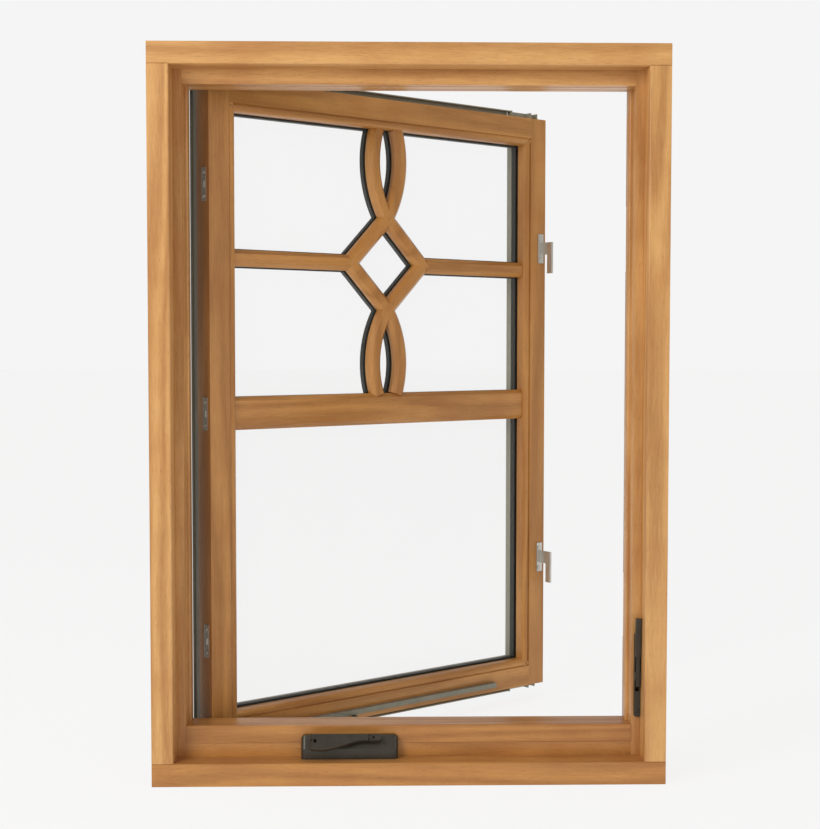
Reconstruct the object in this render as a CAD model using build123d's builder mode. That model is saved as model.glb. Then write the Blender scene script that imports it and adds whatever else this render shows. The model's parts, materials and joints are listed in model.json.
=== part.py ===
from build123d import *
import os
from math import asin, cos, degrees, radians, sin, sqrt

os.makedirs("parts", exist_ok=True)

# Casement window with its sash cranked part way open, seen from the room along +Y.
# X runs along the sill, Y points outdoors, Z is up, all in millimetres.
# The origin is the middle of the underside of the wooden sill.

# ---- driving dimensions: frame ----
frame_width = 840.0
frame_height = 1202.0
jamb_thickness = 35.5
sill_thickness = 37.5
wall_depth = 116.0
frame_depth = 143.0
arris = 3.0
stop_setback = 44.0
stop_width = 14.5
leg_setback = 74.0
leg_width = 20.0
leg_end = 101.0
head_stop_drop = 24.5
sill_board_height = 22.5
sill_cap_height = 29.0
sill_shelf_drop = 1.5
sill_shelf_thickness = 21.5
riser_thickness = 12.0
nose_setback = 102.0
nose_step = 3.5
hinge_gap = 12.0
frame_clad = 3.0
clad_return_start = 102.0
seal_thickness = 2.7
thin_seal = 0.8
thick_seal_start = -308.0
seal_width = 9.0

# ---- driving dimensions: sash ----
sash_clearance = 0.25
sash_setback = 104.0
open_angle = 36.85
full_angle = 60.0
sash_wood_depth = 42.0
face_width = 39.0
sticking_width = 14.0
sticking_quirk = 2.6
bead_drop = 0.8
glass_seat = 23.0
glass_bite = 8.0
glass_thickness = 4.0
air_gap = 10.0
spacer_show = 3.0
black_lap = 2.0
clad_depth = 16.0
clad_wall = 2.0
clad_round = 3.0
hinge_lip = 2.8
flange_overlap = 19.5
flange_gap = 2.0

# ---- driving dimensions: grille ----
bar_width = 28.6
bar_setback = 8.0
bar_bevel = 7.0
check_rail_height = 57.2
check_rail_level = 565.0
muntin_level = 830.7
diamond_half = 83.2
bow_bulge = 30.0
bow_end = 21.0
black_bar_margin = 0.2
outer_bar_width = 18.0
outer_bar_depth = 5.0

# ---- driving dimensions: hinge hardware ----
hinge_arm_length = 86.5
hinge_offset = 10.0
hinge_line = 24.0
hinge_arm_width = 16.0
hinge_plate = 2.5
sash_arm_length = 180.0
rivet_radius = 4.0
boss_radius = 6.0
running_clearance = 0.05
open_pivot_clearance = 0.3
part_gap = 0.4
shoe_length = 22.0
shoe_width = 14.0
shoe_height = 3.7
track_rail = 1.5

# ---- driving dimensions: operator ----
operator_arm_length = 220.0
operator_pivot_setback = 60.0
operator_pivot_offset = 156.86
arm_closed_angle = 10.041
arm_ratio = 2.536
arm_level = 42.0
arm_thickness = 4.0
arm_hub_radius = 7.0
arm_tip_radius = 4.6
arm_stud_radius = 2.6
roller_setback = 5.5
gear_radius = 11.8
gear_teeth = 22
gear_level = 48.0
gear_width = 6.0
tooth_depth = 1.6
worm_radius = 4.5
worm_shaft_radius = 3.0
mesh_gap = 0.4
worm_length = 15.0
base_thickness = 2.0
sash_track_start = 21.5
sash_track_end = 634.0
sash_track_depth = 2 * roller_setback
sash_track_height = 9.0
sash_track_wall = 1.3
sash_track_level = 48.0
arm_shoe_length = 8.0
arm_shoe_width = 7.2

# ---- driving dimensions: crank and cover ----
cover_reach_left = 32.5
cover_reach_right = 127.5
cover_setback = 23.0
cover_shoulder = 17.5
cover_height = 37.5
cover_slope = 10.0
cover_wall = 2.0
cover_round = 7.5
cover_bottom_gap = 0.1
crank_offset = 101.61
crank_setback = 16.0
crank_level = 68.0
crank_elevation = 41.0
crank_hub_radius = 12.0
crank_hub_low = -5.5
crank_stud_radius = 5.0
stud_bevel_radius = 6.0
hub_disc = 2.3
fold_x = -12.5
fold_pin_level = 1.8
fold_pin_radius = 1.5
lug_radius = 2.8
lug_width = 5.0
lug_sweep = 6.0
crank_reach = 79.0
paddle_width = 28.0
paddle_top = 13.0
paddle_thickness = 8.4
paddle_edge = 1.5
paddle_end_radius = 4.6
handle_width = 11.0
knob_half = 3.6
knob_pin_radius = 1.0
knob_tab_width = 4.0
knob_end = 99.0

# ---- driving dimensions: lock ----
lock_plate_bottom = 102.5
lock_plate_height = 139.0
lock_plate_thickness = 6.0
lock_plate_width = 10.6
lever_pivot_level = 172.0
lever_pivot_setback = 36.0
lever_tail = 18.0
lever_length = 96.5
lever_thickness = 5.6
lever_width = 9.0
lever_gap = 1.8
lever_pin_radius = 2.0
tie_bar_width = 13.0
tie_bar_thickness = 2.7
tie_bar_setback = 85.0
tie_bar_travel = 30.0
tie_bar_low = 110.0
tie_bar_high = 1020.0
lock_pin_radius = 3.5
lock_pin_setback = 93.5
lock_pin_drop = 75.0
keeper_feet = (882.0, 265.0)
keeper_height = 57.5
keeper_edge = 20.5
keeper_plate_width = 14.0
keeper_plate_thickness = 2.5
keeper_flange_rise = 17.0
keeper_flange_height = 24.0
keeper_reach = 30.0
keeper_thickness = 4.0
keeper_hook_depth = 13.0
keeper_hook_drop = 37.5
snubber_feet = (960.5, 575.0, 188.0)
snubber_height = 56.0
snubber_width = 14.0
snubber_thickness = 1.5
snubber_tab_rise = 1.6
snubber_setback = 15.5
screw_head_radius = 3.4
screw_head_height = 1.2
screw_shank_radius = 1.8
screw_length = 14.0

# ---- values worked out from the driving dimensions ----
front = -wall_depth / 2
half_width = frame_width / 2
inner_x = half_width - jamb_thickness
head_level = frame_height - jamb_thickness
sash_width = 2 * (inner_x - sash_clearance)
sash_bottom = sill_thickness - 0.5
sash_height = head_level - 0.5 - sash_bottom
nose_x = inner_x + nose_step
sill_nose_level = sash_bottom - hinge_gap
head_nose_level = sash_bottom + sash_height + hinge_gap
leg_x = inner_x - leg_width
stop_x = inner_x - stop_width
shelf_top = sill_thickness + sill_board_height + sill_cap_height - sill_shelf_drop
cap_top = sill_thickness + sill_board_height + sill_cap_height
opening_top = head_level - head_stop_drop
glass_edge = face_width + sticking_width
pane_inset = glass_edge - glass_bite
black_setback = glass_seat + glass_thickness
outer_pane_setback = black_setback + air_gap
sash_depth = sash_wood_depth + clad_depth
turn = radians(open_angle)


def y_at(setback):
    """Distance along Y of a plane set back from the room face of the frame."""
    return front + setback


# The support arm turns about the anchor, and the sash arm about the support arm's far end.
# Both are equally long, so the shoe stays on the track's straight line.
closed_corner_x = -sash_width / 2
shoe_closed_x = closed_corner_x + hinge_offset
anchor_x = shoe_closed_x + 2 * hinge_arm_length
track_y = y_at(sash_setback + hinge_line)
elbow_x = anchor_x - hinge_arm_length * cos(turn)
elbow_y = track_y + hinge_arm_length * sin(turn)
shoe_x = anchor_x - 2 * hinge_arm_length * cos(turn)
corner_x = shoe_x - hinge_offset * cos(turn) + hinge_line * sin(turn)
corner_y = track_y - hinge_offset * sin(turn) - hinge_line * cos(turn)


def sash_plan(level, setback=0.0, along=0.0):
    """Horizontal plane of the sash: x along its width, y outdoors, at a height above its foot."""
    x = corner_x + along * cos(turn) - setback * sin(turn)
    y = corner_y + along * sin(turn) + setback * cos(turn)
    return Plane(origin=(x, y, sash_bottom + level), x_dir=(cos(turn), sin(turn), 0), z_dir=(0, 0, 1))


def sash_front(setback=0.0):
    """Upright plane of the sash: x along its width, y up, facing the room."""
    x = corner_x - setback * sin(turn)
    y = corner_y + setback * cos(turn)
    return Plane(origin=(x, y, sash_bottom), x_dir=(cos(turn), sin(turn), 0), z_dir=(sin(turn), -cos(turn), 0))


def sash_side(along=0.0):
    """Plane across the sash: x outdoors, y up, facing along its width."""
    x = corner_x + along * cos(turn)
    y = corner_y + along * sin(turn)
    return Plane(origin=(x, y, sash_bottom), x_dir=(-sin(turn), cos(turn), 0), z_dir=(cos(turn), sin(turn), 0))


def outline(plane, *points):
    """Closed straight-sided profile on a plane."""
    with BuildSketch(plane) as profile:
        with BuildLine():
            Polyline(*points, close=True)
        make_face()
    return profile.sketch


def block(plane, low_x, low_y, high_x, high_y):
    """Rectangular profile on a plane, given by two of its corners."""
    return outline(plane, (low_x, low_y), (high_x, low_y), (high_x, high_y), (low_x, high_y))


def save(sub_part, name):
    """Label one finished sub-part and write it under its node name."""
    sub_part.part.label = name
    export_step(sub_part.part, f"parts/{name}.step")


# ---- frame: head, sill and two jambs ----
level_x = Plane.YZ.offset(-half_width)

with BuildPart() as head_jamb:
    extrude(
        outline(
            level_x,
            (y_at(0), frame_height),
            (y_at(0), head_level),
            (y_at(nose_setback), head_level),
            (y_at(nose_setback), head_nose_level + frame_clad),
            (y_at(frame_depth), head_nose_level + frame_clad),
            (y_at(frame_depth), frame_height),
        ),
        amount=frame_width,
    )
    fillet(head_jamb.edges().filter_by(Axis.X).group_by(Axis.Y)[0].sort_by(Axis.Z)[0], arris)
save(head_jamb, "head_jamb")

with BuildPart() as sill:
    extrude(
        outline(
            level_x,
            (y_at(0), 0),
            (y_at(0), sill_thickness),
            (y_at(nose_setback), sill_thickness),
            (y_at(nose_setback), sill_nose_level - frame_clad),
            (y_at(frame_depth), sill_nose_level - frame_clad),
            (y_at(frame_depth), 0),
        ),
        amount=frame_width,
    )
    fillet(sill.edges().filter_by(Axis.X).group_by(Axis.Y)[0].sort_by(Axis.Z)[-1], arris)
save(sill, "sill")

jamb_span = head_level - sill_thickness
nose_span = head_nose_level - sill_nose_level
for side, jamb_name in ((-1, "hinge_jamb"), (1, "lock_jamb")):
    with BuildPart() as jamb:
        extrude(
            block(Plane.XY.offset(sill_thickness), side * half_width, y_at(0), side * inner_x, y_at(nose_setback)),
            amount=jamb_span,
            dir=(0, 0, 1),
        )
        room_edges = jamb.edges().filter_by(Axis.Z).group_by(Axis.Y)[0]
        fillet(room_edges.sort_by(lambda edge: abs(edge.center().X))[0], arris)
        extrude(
            block(
                Plane.XY.offset(sill_nose_level),
                side * half_width,
                y_at(nose_setback),
                side * (nose_x + frame_clad),
                y_at(frame_depth),
            ),
            amount=nose_span,
            dir=(0, 0, 1),
        )
    save(jamb, jamb_name)

# ---- applied stops: each side stop is a square edge with a narrower leg behind it ----
tie_bar_x = inner_x - tie_bar_thickness - part_gap
lever_x = (stop_x + inner_x) / 2 + 1.5
slot_half = lever_thickness / 2 + 0.7
plate_x = inner_x - lock_plate_width / 2 - 0.3
for side, stop_name in ((-1, "hinge_side_stop"), (1, "lock_side_stop")):
    with BuildPart() as side_stop:
        extrude(
            outline(
                Plane.XY.offset(sill_thickness),
                (side * inner_x, y_at(stop_setback)),
                (side * stop_x, y_at(stop_setback)),
                (side * stop_x, y_at(leg_setback)),
                (side * leg_x, y_at(leg_setback)),
                (side * leg_x, y_at(leg_end)),
                (side * inner_x, y_at(leg_end)),
            ),
            amount=head_level - sill_thickness,
            dir=(0, 0, 1),
        )
        nosing = side_stop.edges().filter_by(Axis.Z).group_by(lambda edge: abs(edge.center().X))
        fillet(nosing[0], arris)
        if side > 0:
            # Channel for the tie bar, slot for the lever's tail and a mouth for each keeper.
            extrude(
                block(
                    Plane.XY.offset(sill_thickness),
                    tie_bar_x - part_gap,
                    y_at(tie_bar_setback) - part_gap,
                    inner_x,
                    y_at(tie_bar_setback) + tie_bar_width + part_gap,
                ),
                amount=jamb_span,
                dir=(0, 0, 1),
                mode=Mode.SUBTRACT,
            )
            extrude(
                block(
                    Plane.XY.offset(lever_pivot_level - 2 * lever_tail),
                    lever_x - slot_half,
                    y_at(stop_setback),
                    lever_x + slot_half,
                    y_at(lever_pivot_setback) + 1.5 * lever_tail,
                ),
                amount=4 * lever_tail,
                dir=(0, 0, 1),
                mode=Mode.SUBTRACT,
            )
            for foot in keeper_feet:
                extrude(
                    block(
                        Plane.XY.offset(foot - keeper_height * 0.7),
                        inner_x - keeper_plate_width,
                        y_at(leg_setback - 4.0),
                        inner_x,
                        y_at(leg_end),
                    ),
                    amount=keeper_height * 1.5,
                    dir=(0, 0, 1),
                    mode=Mode.SUBTRACT,
                )
                extrude(
                    block(
                        Plane.XY.offset(foot - keeper_height * 0.2),
                        leg_x + 0.4,
                        y_at(leg_end) - screw_head_height - 0.3,
                        inner_x,
                        y_at(leg_end),
                    ),
                    amount=keeper_height * 1.4,
                    dir=(0, 0, 1),
                    mode=Mode.SUBTRACT,
                )
            for mark_z in (lock_plate_bottom + 10.0, lock_plate_bottom + lock_plate_height - 10.0):
                with Locations(Location((plate_x, y_at(stop_setback) + screw_length / 2, mark_z), (90, 0, 0))):
                    Cylinder(screw_shank_radius, screw_length, mode=Mode.SUBTRACT)
    save(side_stop, stop_name)

stop_span = 2 * stop_x
with BuildPart() as head_stop:
    extrude(
        outline(
            Plane.YZ.offset(-stop_x),
            (y_at(stop_setback), head_level),
            (y_at(stop_setback), opening_top),
            (y_at(stop_setback + 14.0), opening_top),
            (y_at(stop_setback + 14.0), opening_top + 3.0),
            (y_at(stop_setback + 18.0), opening_top + 3.0),
            (y_at(stop_setback + 18.0), opening_top),
            (y_at(leg_setback), opening_top),
            (y_at(leg_setback), head_level),
        ),
        amount=stop_span,
    )
    extrude(
        block(Plane.YZ.offset(-leg_x), y_at(leg_setback), opening_top, y_at(leg_end), head_level),
        amount=2 * leg_x,
    )
save(head_stop, "head_stop")

# The operator sits in a mortise of the lower board, and the arm runs in the space behind it.
operator_x = anchor_x + operator_pivot_offset
crank_x = operator_x - crank_offset
cover_left = crank_x - cover_reach_left
cover_right = crank_x + cover_reach_right
mortise_left = cover_left + 15.0
mortise_right = operator_x + 15.0
board_top = sill_thickness + sill_board_height
with BuildPart() as sill_lower_board:
    extrude(
        block(
            Plane.YZ.offset(-stop_x),
            y_at(stop_setback),
            sill_thickness,
            y_at(stop_setback + riser_thickness),
            board_top,
        ),
        amount=stop_span,
    )
    extrude(
        block(
            Plane.XY.offset(sill_thickness),
            mortise_left,
            y_at(stop_setback),
            mortise_right,
            y_at(stop_setback + riser_thickness),
        ),
        amount=sill_board_height,
        mode=Mode.SUBTRACT,
    )
    extrude(
        block(
            Plane.XY.offset(sill_thickness),
            mortise_right,
            y_at(stop_setback + riser_thickness / 2),
            mortise_right + 2 * arm_hub_radius,
            y_at(stop_setback + riser_thickness),
        ),
        amount=sill_board_height,
        mode=Mode.SUBTRACT,
    )
save(sill_lower_board, "sill_lower_board")

with BuildPart() as sill_upper_board:
    extrude(
        outline(
            Plane.YZ.offset(-stop_x),
            (y_at(stop_setback - 0.8), board_top),
            (y_at(stop_setback - 0.8), cap_top),
            (y_at(stop_setback + riser_thickness), cap_top),
            (y_at(stop_setback + riser_thickness), shelf_top - 2.0),
            (y_at(stop_setback + riser_thickness + 4.0), shelf_top - 2.0),
            (y_at(stop_setback + riser_thickness + 4.0), shelf_top),
            (y_at(leg_setback), shelf_top),
            (y_at(leg_setback), shelf_top - sill_shelf_thickness),
            (y_at(stop_setback + riser_thickness), shelf_top - sill_shelf_thickness),
            (y_at(stop_setback + riser_thickness), board_top),
        ),
        amount=stop_span,
    )
    extrude(
        block(
            Plane.YZ.offset(-leg_x),
            y_at(leg_setback),
            shelf_top - sill_shelf_thickness,
            y_at(leg_end),
            shelf_top,
        ),
        amount=2 * leg_x,
    )
    cap_edges = sill_upper_board.edges().filter_by(Axis.X).group_by(Axis.Y)[0]
    fillet(cap_edges.sort_by(Axis.Z)[-1], 2.0)
save(sill_upper_board, "sill_upper_board")

# ---- weatherstrip round the outdoor face of the stops, thinner where the sash corner swings ----
with BuildPart() as frame_weatherstrip:
    with BuildSketch(Plane.XZ.offset(-y_at(leg_end))):
        with Locations((0, (opening_top + shelf_top) / 2)):
            Rectangle(2 * leg_x + 2 * seal_width, opening_top - shelf_top + 2 * seal_width - 2.0)
            Rectangle(2 * leg_x + 1.0, opening_top - shelf_top + 1.0, mode=Mode.SUBTRACT)
    extrude(amount=-seal_thickness)
    extrude(
        block(Plane.XY, -half_width, y_at(leg_end + thin_seal), thick_seal_start, y_at(frame_depth)),
        amount=frame_height,
        mode=Mode.SUBTRACT,
    )
    for foot in keeper_feet:
        extrude(
            block(Plane.XY.offset(foot - keeper_height * 0.7), leg_x, y_at(0), half_width, y_at(frame_depth)),
            amount=keeper_height * 1.9,
            mode=Mode.SUBTRACT,
        )
save(frame_weatherstrip, "frame_weatherstrip")

# ---- aluminium cladding over the frame's nose ----
clad_face = y_at(frame_depth)
clad_front = clad_face + frame_clad
with BuildPart() as frame_clad_head:
    extrude(
        outline(
            level_x,
            (y_at(clad_return_start), head_nose_level + frame_clad),
            (y_at(clad_return_start), head_nose_level),
            (clad_front, head_nose_level),
            (clad_front, frame_height),
            (clad_face, frame_height),
            (clad_face, head_nose_level + frame_clad),
        ),
        amount=frame_width,
    )
save(frame_clad_head, "frame_clad_head")

with BuildPart() as frame_clad_sill:
    extrude(
        outline(
            level_x,
            (y_at(clad_return_start), sill_nose_level - frame_clad),
            (y_at(clad_return_start), sill_nose_level),
            (clad_front, sill_nose_level),
            (clad_front, 0),
            (clad_face, 0),
            (clad_face, sill_nose_level - frame_clad),
        ),
        amount=frame_width,
    )
save(frame_clad_sill, "frame_clad_sill")

with BuildPart() as frame_clad_jambs:
    for side in (-1, 1):
        extrude(
            outline(
                Plane.XY.offset(sill_nose_level),
                (side * (nose_x + frame_clad), y_at(clad_return_start)),
                (side * nose_x, y_at(clad_return_start)),
                (side * nose_x, clad_front),
                (side * half_width, clad_front),
                (side * half_width, clad_face),
                (side * (nose_x + frame_clad), clad_face),
            ),
            amount=head_nose_level - sill_nose_level,
            dir=(0, 0, 1),
        )
save(frame_clad_jambs, "frame_clad_jambs")

def screw(plane, x, y, mode=Mode.ADD):
    """Pan-head wood screw whose head rests on the plane at a point and whose shank goes the other way."""
    with Locations(plane.location * Pos(x, y, screw_head_height / 2)):
        Cylinder(screw_head_radius, screw_head_height, mode=mode)
    with Locations(plane.location * Pos(x, y, -screw_length / 2)):
        Cylinder(screw_shank_radius, screw_length, mode=mode)


def sash_edge(setback=0.0):
    """Upright plane of the sash's hinge edge, facing away from the sash: x towards the room, y up."""
    x = corner_x + setback * cos(turn)
    y = corner_y + setback * sin(turn)
    return Plane(origin=(x, y, sash_bottom), x_dir=(sin(turn), -cos(turn), 0), z_dir=(-cos(turn), -sin(turn), 0))


# ---- screws that fasten the hardware to the sash ----
keeper_x = sash_width - keeper_edge + keeper_plate_width / 2 + 0.5
snubber_middle = snubber_setback
sash_screw_marks = [
    (sash_front(-keeper_plate_thickness), keeper_x - 3.0, foot - sash_bottom + offset)
    for foot in keeper_feet
    for offset in (8.0, keeper_height - 9.0)
]
sash_screw_marks += [
    (sash_front(screw_head_height - sash_track_wall), x, sash_track_level + sash_track_height / 2 - sash_bottom)
    for x in (sash_track_start + 4.0, sash_track_end - 4.0)
]
sash_screw_marks += [
    (sash_edge(-snubber_thickness), -snubber_middle, foot - sash_bottom + offset)
    for foot in snubber_feet
    for offset in (8.0, snubber_height - 8.0)
]
with BuildPart() as sash_screws:
    for mark_plane, mark_x, mark_y in sash_screw_marks:
        screw(mark_plane, mark_x, mark_y)
save(sash_screws, "sash_screws")

# ---- sash: stiles run full height, rails are coped between them ----


def moulded_edge():
    """Section of a stile or rail as (width, depth): quirk, bead, glass rebate and square outer edge."""
    return [
        (0, 0),
        (face_width, 0),
        (face_width, sticking_quirk),
        (face_width + 1.2, sticking_quirk - 0.6),
        (face_width + sticking_width * 0.3, bead_drop),
        (face_width + sticking_width * 0.62, bead_drop + 0.3),
        (face_width + sticking_width * 0.88, bead_drop + 2.6),
        (glass_edge, bead_drop + 6.5),
        (glass_edge, glass_seat),
        (pane_inset - 1.0, glass_seat),
        (pane_inset - 1.0, sash_wood_depth),
        (0, sash_wood_depth),
    ]


def sash_section(plane, mirror_at=None):
    """Section of a stile, for the hinge side or mirrored for the lock side."""
    points = moulded_edge()
    if mirror_at is not None:
        points = [(mirror_at - x, y) for x, y in points]
    return outline(plane, *points)


with BuildPart() as sash_hinge_stile:
    extrude(sash_section(sash_plan(0)), amount=sash_height, dir=(0, 0, 1))
    add(sash_screws.part, mode=Mode.SUBTRACT)
save(sash_hinge_stile, "sash_hinge_stile")

with BuildPart() as sash_lock_stile:
    extrude(sash_section(sash_plan(0), sash_width), amount=sash_height, dir=(0, 0, 1))
    add(sash_screws.part, mode=Mode.SUBTRACT)
save(sash_lock_stile, "sash_lock_stile")


def rail_section(plane, top):
    """Section of a rail on the plane across the sash, with its square edge outermost."""
    points = [(y, sash_height - x if top else x) for x, y in moulded_edge()]
    return outline(plane, *points)


sash_along = (cos(turn), sin(turn), 0)
for is_top, rail_name in ((True, "sash_top_rail"), (False, "sash_bottom_rail")):
    with BuildPart() as rail:
        extrude(
            rail_section(sash_side(face_width - 1.0), is_top),
            amount=sash_width - 2 * face_width + 2.0,
            dir=sash_along,
        )
        add(sash_hinge_stile.part, mode=Mode.SUBTRACT)
        add(sash_lock_stile.part, mode=Mode.SUBTRACT)
        add(sash_screws.part, mode=Mode.SUBTRACT)
    save(rail, rail_name)

# ---- insulating glass ----
pane_width = sash_width - 2 * pane_inset
pane_height = sash_height - 2 * pane_inset
sash_middle = (sash_width / 2, sash_height / 2)
for setback, pane_name in ((glass_seat, "inner_pane"), (outer_pane_setback, "outer_pane")):
    with BuildPart() as pane:
        with BuildSketch(sash_front(setback)):
            with Locations(sash_middle):
                Rectangle(pane_width, pane_height)
        extrude(amount=-glass_thickness)
    save(pane, pane_name)

spacer_width = glass_bite + spacer_show
with BuildPart() as pane_spacer:
    with BuildSketch(sash_front(black_setback)):
        with Locations(sash_middle):
            Rectangle(pane_width, pane_height)
            Rectangle(pane_width - 2 * spacer_width, pane_height - 2 * spacer_width, mode=Mode.SUBTRACT)
    extrude(amount=-air_gap)
save(pane_spacer, "pane_spacer")

# ---- grille: check rail, two muntins, a mitred diamond and four bowed bars ----
bar_depth = glass_seat - bar_setback
sash_centre = sash_width / 2
check_centre = check_rail_level
light_top = sash_height - glass_edge
check_top = check_rail_level + check_rail_height / 2
bow_joint_up = muntin_level + diamond_half
bow_joint_down = muntin_level - diamond_half
diamond_outer = diamond_half + bar_width / sqrt(2)
diamond_inner = diamond_half - bar_width / sqrt(2)


def room_edges_of(builder, setback):
    """Edges of a bar that lie in its room face."""
    plane = sash_front(setback)
    return [
        edge
        for edge in builder.edges()
        if abs((edge.center() - plane.origin).dot(plane.z_dir)) < 0.01
    ]


with BuildPart() as check_rail:
    with BuildSketch(sash_front(glass_seat)):
        with Locations((sash_centre, check_centre)):
            Rectangle(sash_width - 2 * face_width - 4.0, check_rail_height)
    extrude(amount=bar_depth)
    long_edges = [edge for edge in room_edges_of(check_rail, bar_setback) if edge.length > sash_centre]
    chamfer(long_edges, bar_bevel)
    add(sash_hinge_stile.part, mode=Mode.SUBTRACT)
    add(sash_lock_stile.part, mode=Mode.SUBTRACT)
save(check_rail, "check_rail")

with BuildPart() as diamond:
    with BuildSketch(sash_front(glass_seat)):
        with Locations((sash_centre, muntin_level)):
            Rectangle(sqrt(2) * diamond_outer, sqrt(2) * diamond_outer, rotation=45)
            Rectangle(sqrt(2) * diamond_inner, sqrt(2) * diamond_inner, rotation=45, mode=Mode.SUBTRACT)
    extrude(amount=bar_depth)
    chamfer(room_edges_of(diamond, bar_setback), bar_bevel)
save(diamond, "diamond")

muntin_reach = sash_centre - diamond_outer + bar_width / 2
for mirrored, muntin_name in ((False, "hinge_side_muntin"), (True, "lock_side_muntin")):
    with BuildPart() as muntin:
        start = face_width + 2.0
        middle = (start + muntin_reach) / 2
        with BuildSketch(sash_front(glass_seat)):
            with Locations((sash_width - middle if mirrored else middle, muntin_level)):
                Rectangle(muntin_reach - start, bar_width)
        extrude(amount=bar_depth)
        long_edges = [edge for edge in room_edges_of(muntin, bar_setback) if edge.length > bar_width + 1.0]
        chamfer(long_edges, bar_bevel)
        add(diamond.part, mode=Mode.SUBTRACT)
        add(sash_lock_stile.part if mirrored else sash_hinge_stile.part, mode=Mode.SUBTRACT)
    save(muntin, muntin_name)


def bow_sketch(plane, side, joint, end, width):
    """One bowed bar between the diamond's point and a rail, on one side of the centre line."""
    rise = end - joint
    with BuildSketch(plane) as bow:
        with BuildLine():
            ThreePointArc(
                (sash_centre, joint),
                (sash_centre + side * bow_bulge, joint + 0.55 * rise),
                (sash_centre + side * bow_end, end),
            )
        trace(line_width=width)
        with Locations((sash_centre - side * bar_width, joint + rise / 2)):
            Rectangle(2 * bar_width, 2 * abs(rise), mode=Mode.SUBTRACT)
    return bow.sketch


bow_places = (
    (-1, bow_joint_up, light_top + 3.0, "upper_bow_hinge_side"),
    (1, bow_joint_up, light_top + 3.0, "upper_bow_lock_side"),
    (-1, bow_joint_down, check_top - 3.0, "lower_bow_hinge_side"),
    (1, bow_joint_down, check_top - 3.0, "lower_bow_lock_side"),
)
for side, joint, end, bow_name in bow_places:
    with BuildPart() as bow:
        extrude(bow_sketch(sash_front(glass_seat), side, joint, end, bar_width), amount=bar_depth)
        long_edges = [edge for edge in room_edges_of(bow, bar_setback) if edge.length > 2 * bar_width]
        chamfer(long_edges, bar_bevel)
        if joint == bow_joint_up:
            extrude(
                block(sash_front(glass_seat), 0, light_top, sash_width, sash_height),
                amount=glass_seat,
                mode=Mode.SUBTRACT,
            )
        add(diamond.part, mode=Mode.SUBTRACT)
        add(check_rail.part, mode=Mode.SUBTRACT)
    save(bow, bow_name)

# Black bars between the panes follow the wooden ones and stop at the spacer.
black_reach = pane_width - 2 * spacer_width
black_bar_width = bar_width + 2 * black_lap
black_outer = sqrt(2) * diamond_outer + 2 * black_lap
black_inner = sqrt(2) * diamond_inner - 2 * black_lap
with BuildPart() as black_grille:
    with BuildSketch(sash_front(black_setback + black_bar_margin)) as black_sketch:
        with Locations((sash_centre, check_centre)):
            Rectangle(black_reach, check_rail_height)
        with Locations((sash_centre, muntin_level)):
            Rectangle(black_reach, black_bar_width)
            Rectangle(black_outer, black_outer, rotation=45)
            Rectangle(black_inner, black_inner, rotation=45, mode=Mode.SUBTRACT)
        for side, joint, end, _ in bow_places:
            add(bow_sketch(Plane.XY, side, joint, end, black_bar_width))
        with Locations((sash_centre, sash_height - pane_inset)):
            Rectangle(pane_width, 2 * spacer_width, mode=Mode.SUBTRACT)
    extrude(amount=-(air_gap - 2 * black_bar_margin))
save(black_grille, "black_grille")

# Narrower bars stuck to the outdoor face of the glass carry the same pattern.
outer_scale = outer_bar_width - bar_width
with BuildPart() as outer_grille:
    with BuildSketch(sash_front(outer_pane_setback + glass_thickness)):
        with Locations((sash_centre, check_centre)):
            Rectangle(sash_width - 2 * glass_edge, check_rail_height + outer_scale)
        with Locations((sash_centre, muntin_level)):
            Rectangle(sash_width - 2 * glass_edge, outer_bar_width)
            Rectangle(sqrt(2) * diamond_outer + outer_scale, sqrt(2) * diamond_outer + outer_scale, rotation=45)
            Rectangle(
                sqrt(2) * diamond_inner - outer_scale,
                sqrt(2) * diamond_inner - outer_scale,
                rotation=45,
                mode=Mode.SUBTRACT,
            )
        for side, joint, end, _ in bow_places:
            add(bow_sketch(Plane.XY, side, joint, end, outer_bar_width))
        with Locations((sash_centre, sash_height)):
            Rectangle(sash_width, 2 * glass_edge, mode=Mode.SUBTRACT)
    extrude(amount=-outer_bar_depth)
save(outer_grille, "outer_grille")

# ---- sash cladding: hollow channels, with a lip that laps over the frame's nose ----
clad_in = sash_wood_depth
clad_out = sash_depth
lip_in = clad_in + 1.0 + flange_gap


def channel_points(lip, sign=1, base=0.0):
    """Channel section across a stile or rail, with or without the lip that laps the frame."""
    points = [
        (clad_wall, clad_in),
        (clad_wall, clad_out - clad_wall),
        (glass_edge - clad_wall, clad_out - clad_wall),
        (glass_edge - clad_wall, clad_in),
        (glass_edge, clad_in),
        (glass_edge, clad_out - clad_round),
        (glass_edge - clad_round, clad_out),
    ]
    if lip:
        points += [
            (-lip + clad_round, clad_out),
            (-lip, clad_out - clad_round),
            (-lip, lip_in),
            (-lip + clad_wall, lip_in),
            (-lip + clad_wall, clad_out - clad_wall),
            (0, clad_out - clad_wall),
            (0, clad_in),
        ]
    else:
        points += [(-hinge_lip, clad_out), (-hinge_lip, clad_out - clad_wall), (0, clad_out - clad_wall), (0, clad_in)]
    return [(base + sign * x, y) for x, y in points]


with BuildPart() as sash_clad_hinge:
    extrude(outline(sash_plan(0), *channel_points(0.0)), amount=sash_height, dir=(0, 0, 1))
save(sash_clad_hinge, "sash_clad_hinge")

with BuildPart() as sash_clad_lock:
    extrude(
        outline(sash_plan(-flange_overlap), *channel_points(flange_overlap, -1, sash_width)),
        amount=sash_height + 2 * flange_overlap,
        dir=(0, 0, 1),
    )
save(sash_clad_lock, "sash_clad_lock")

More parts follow.
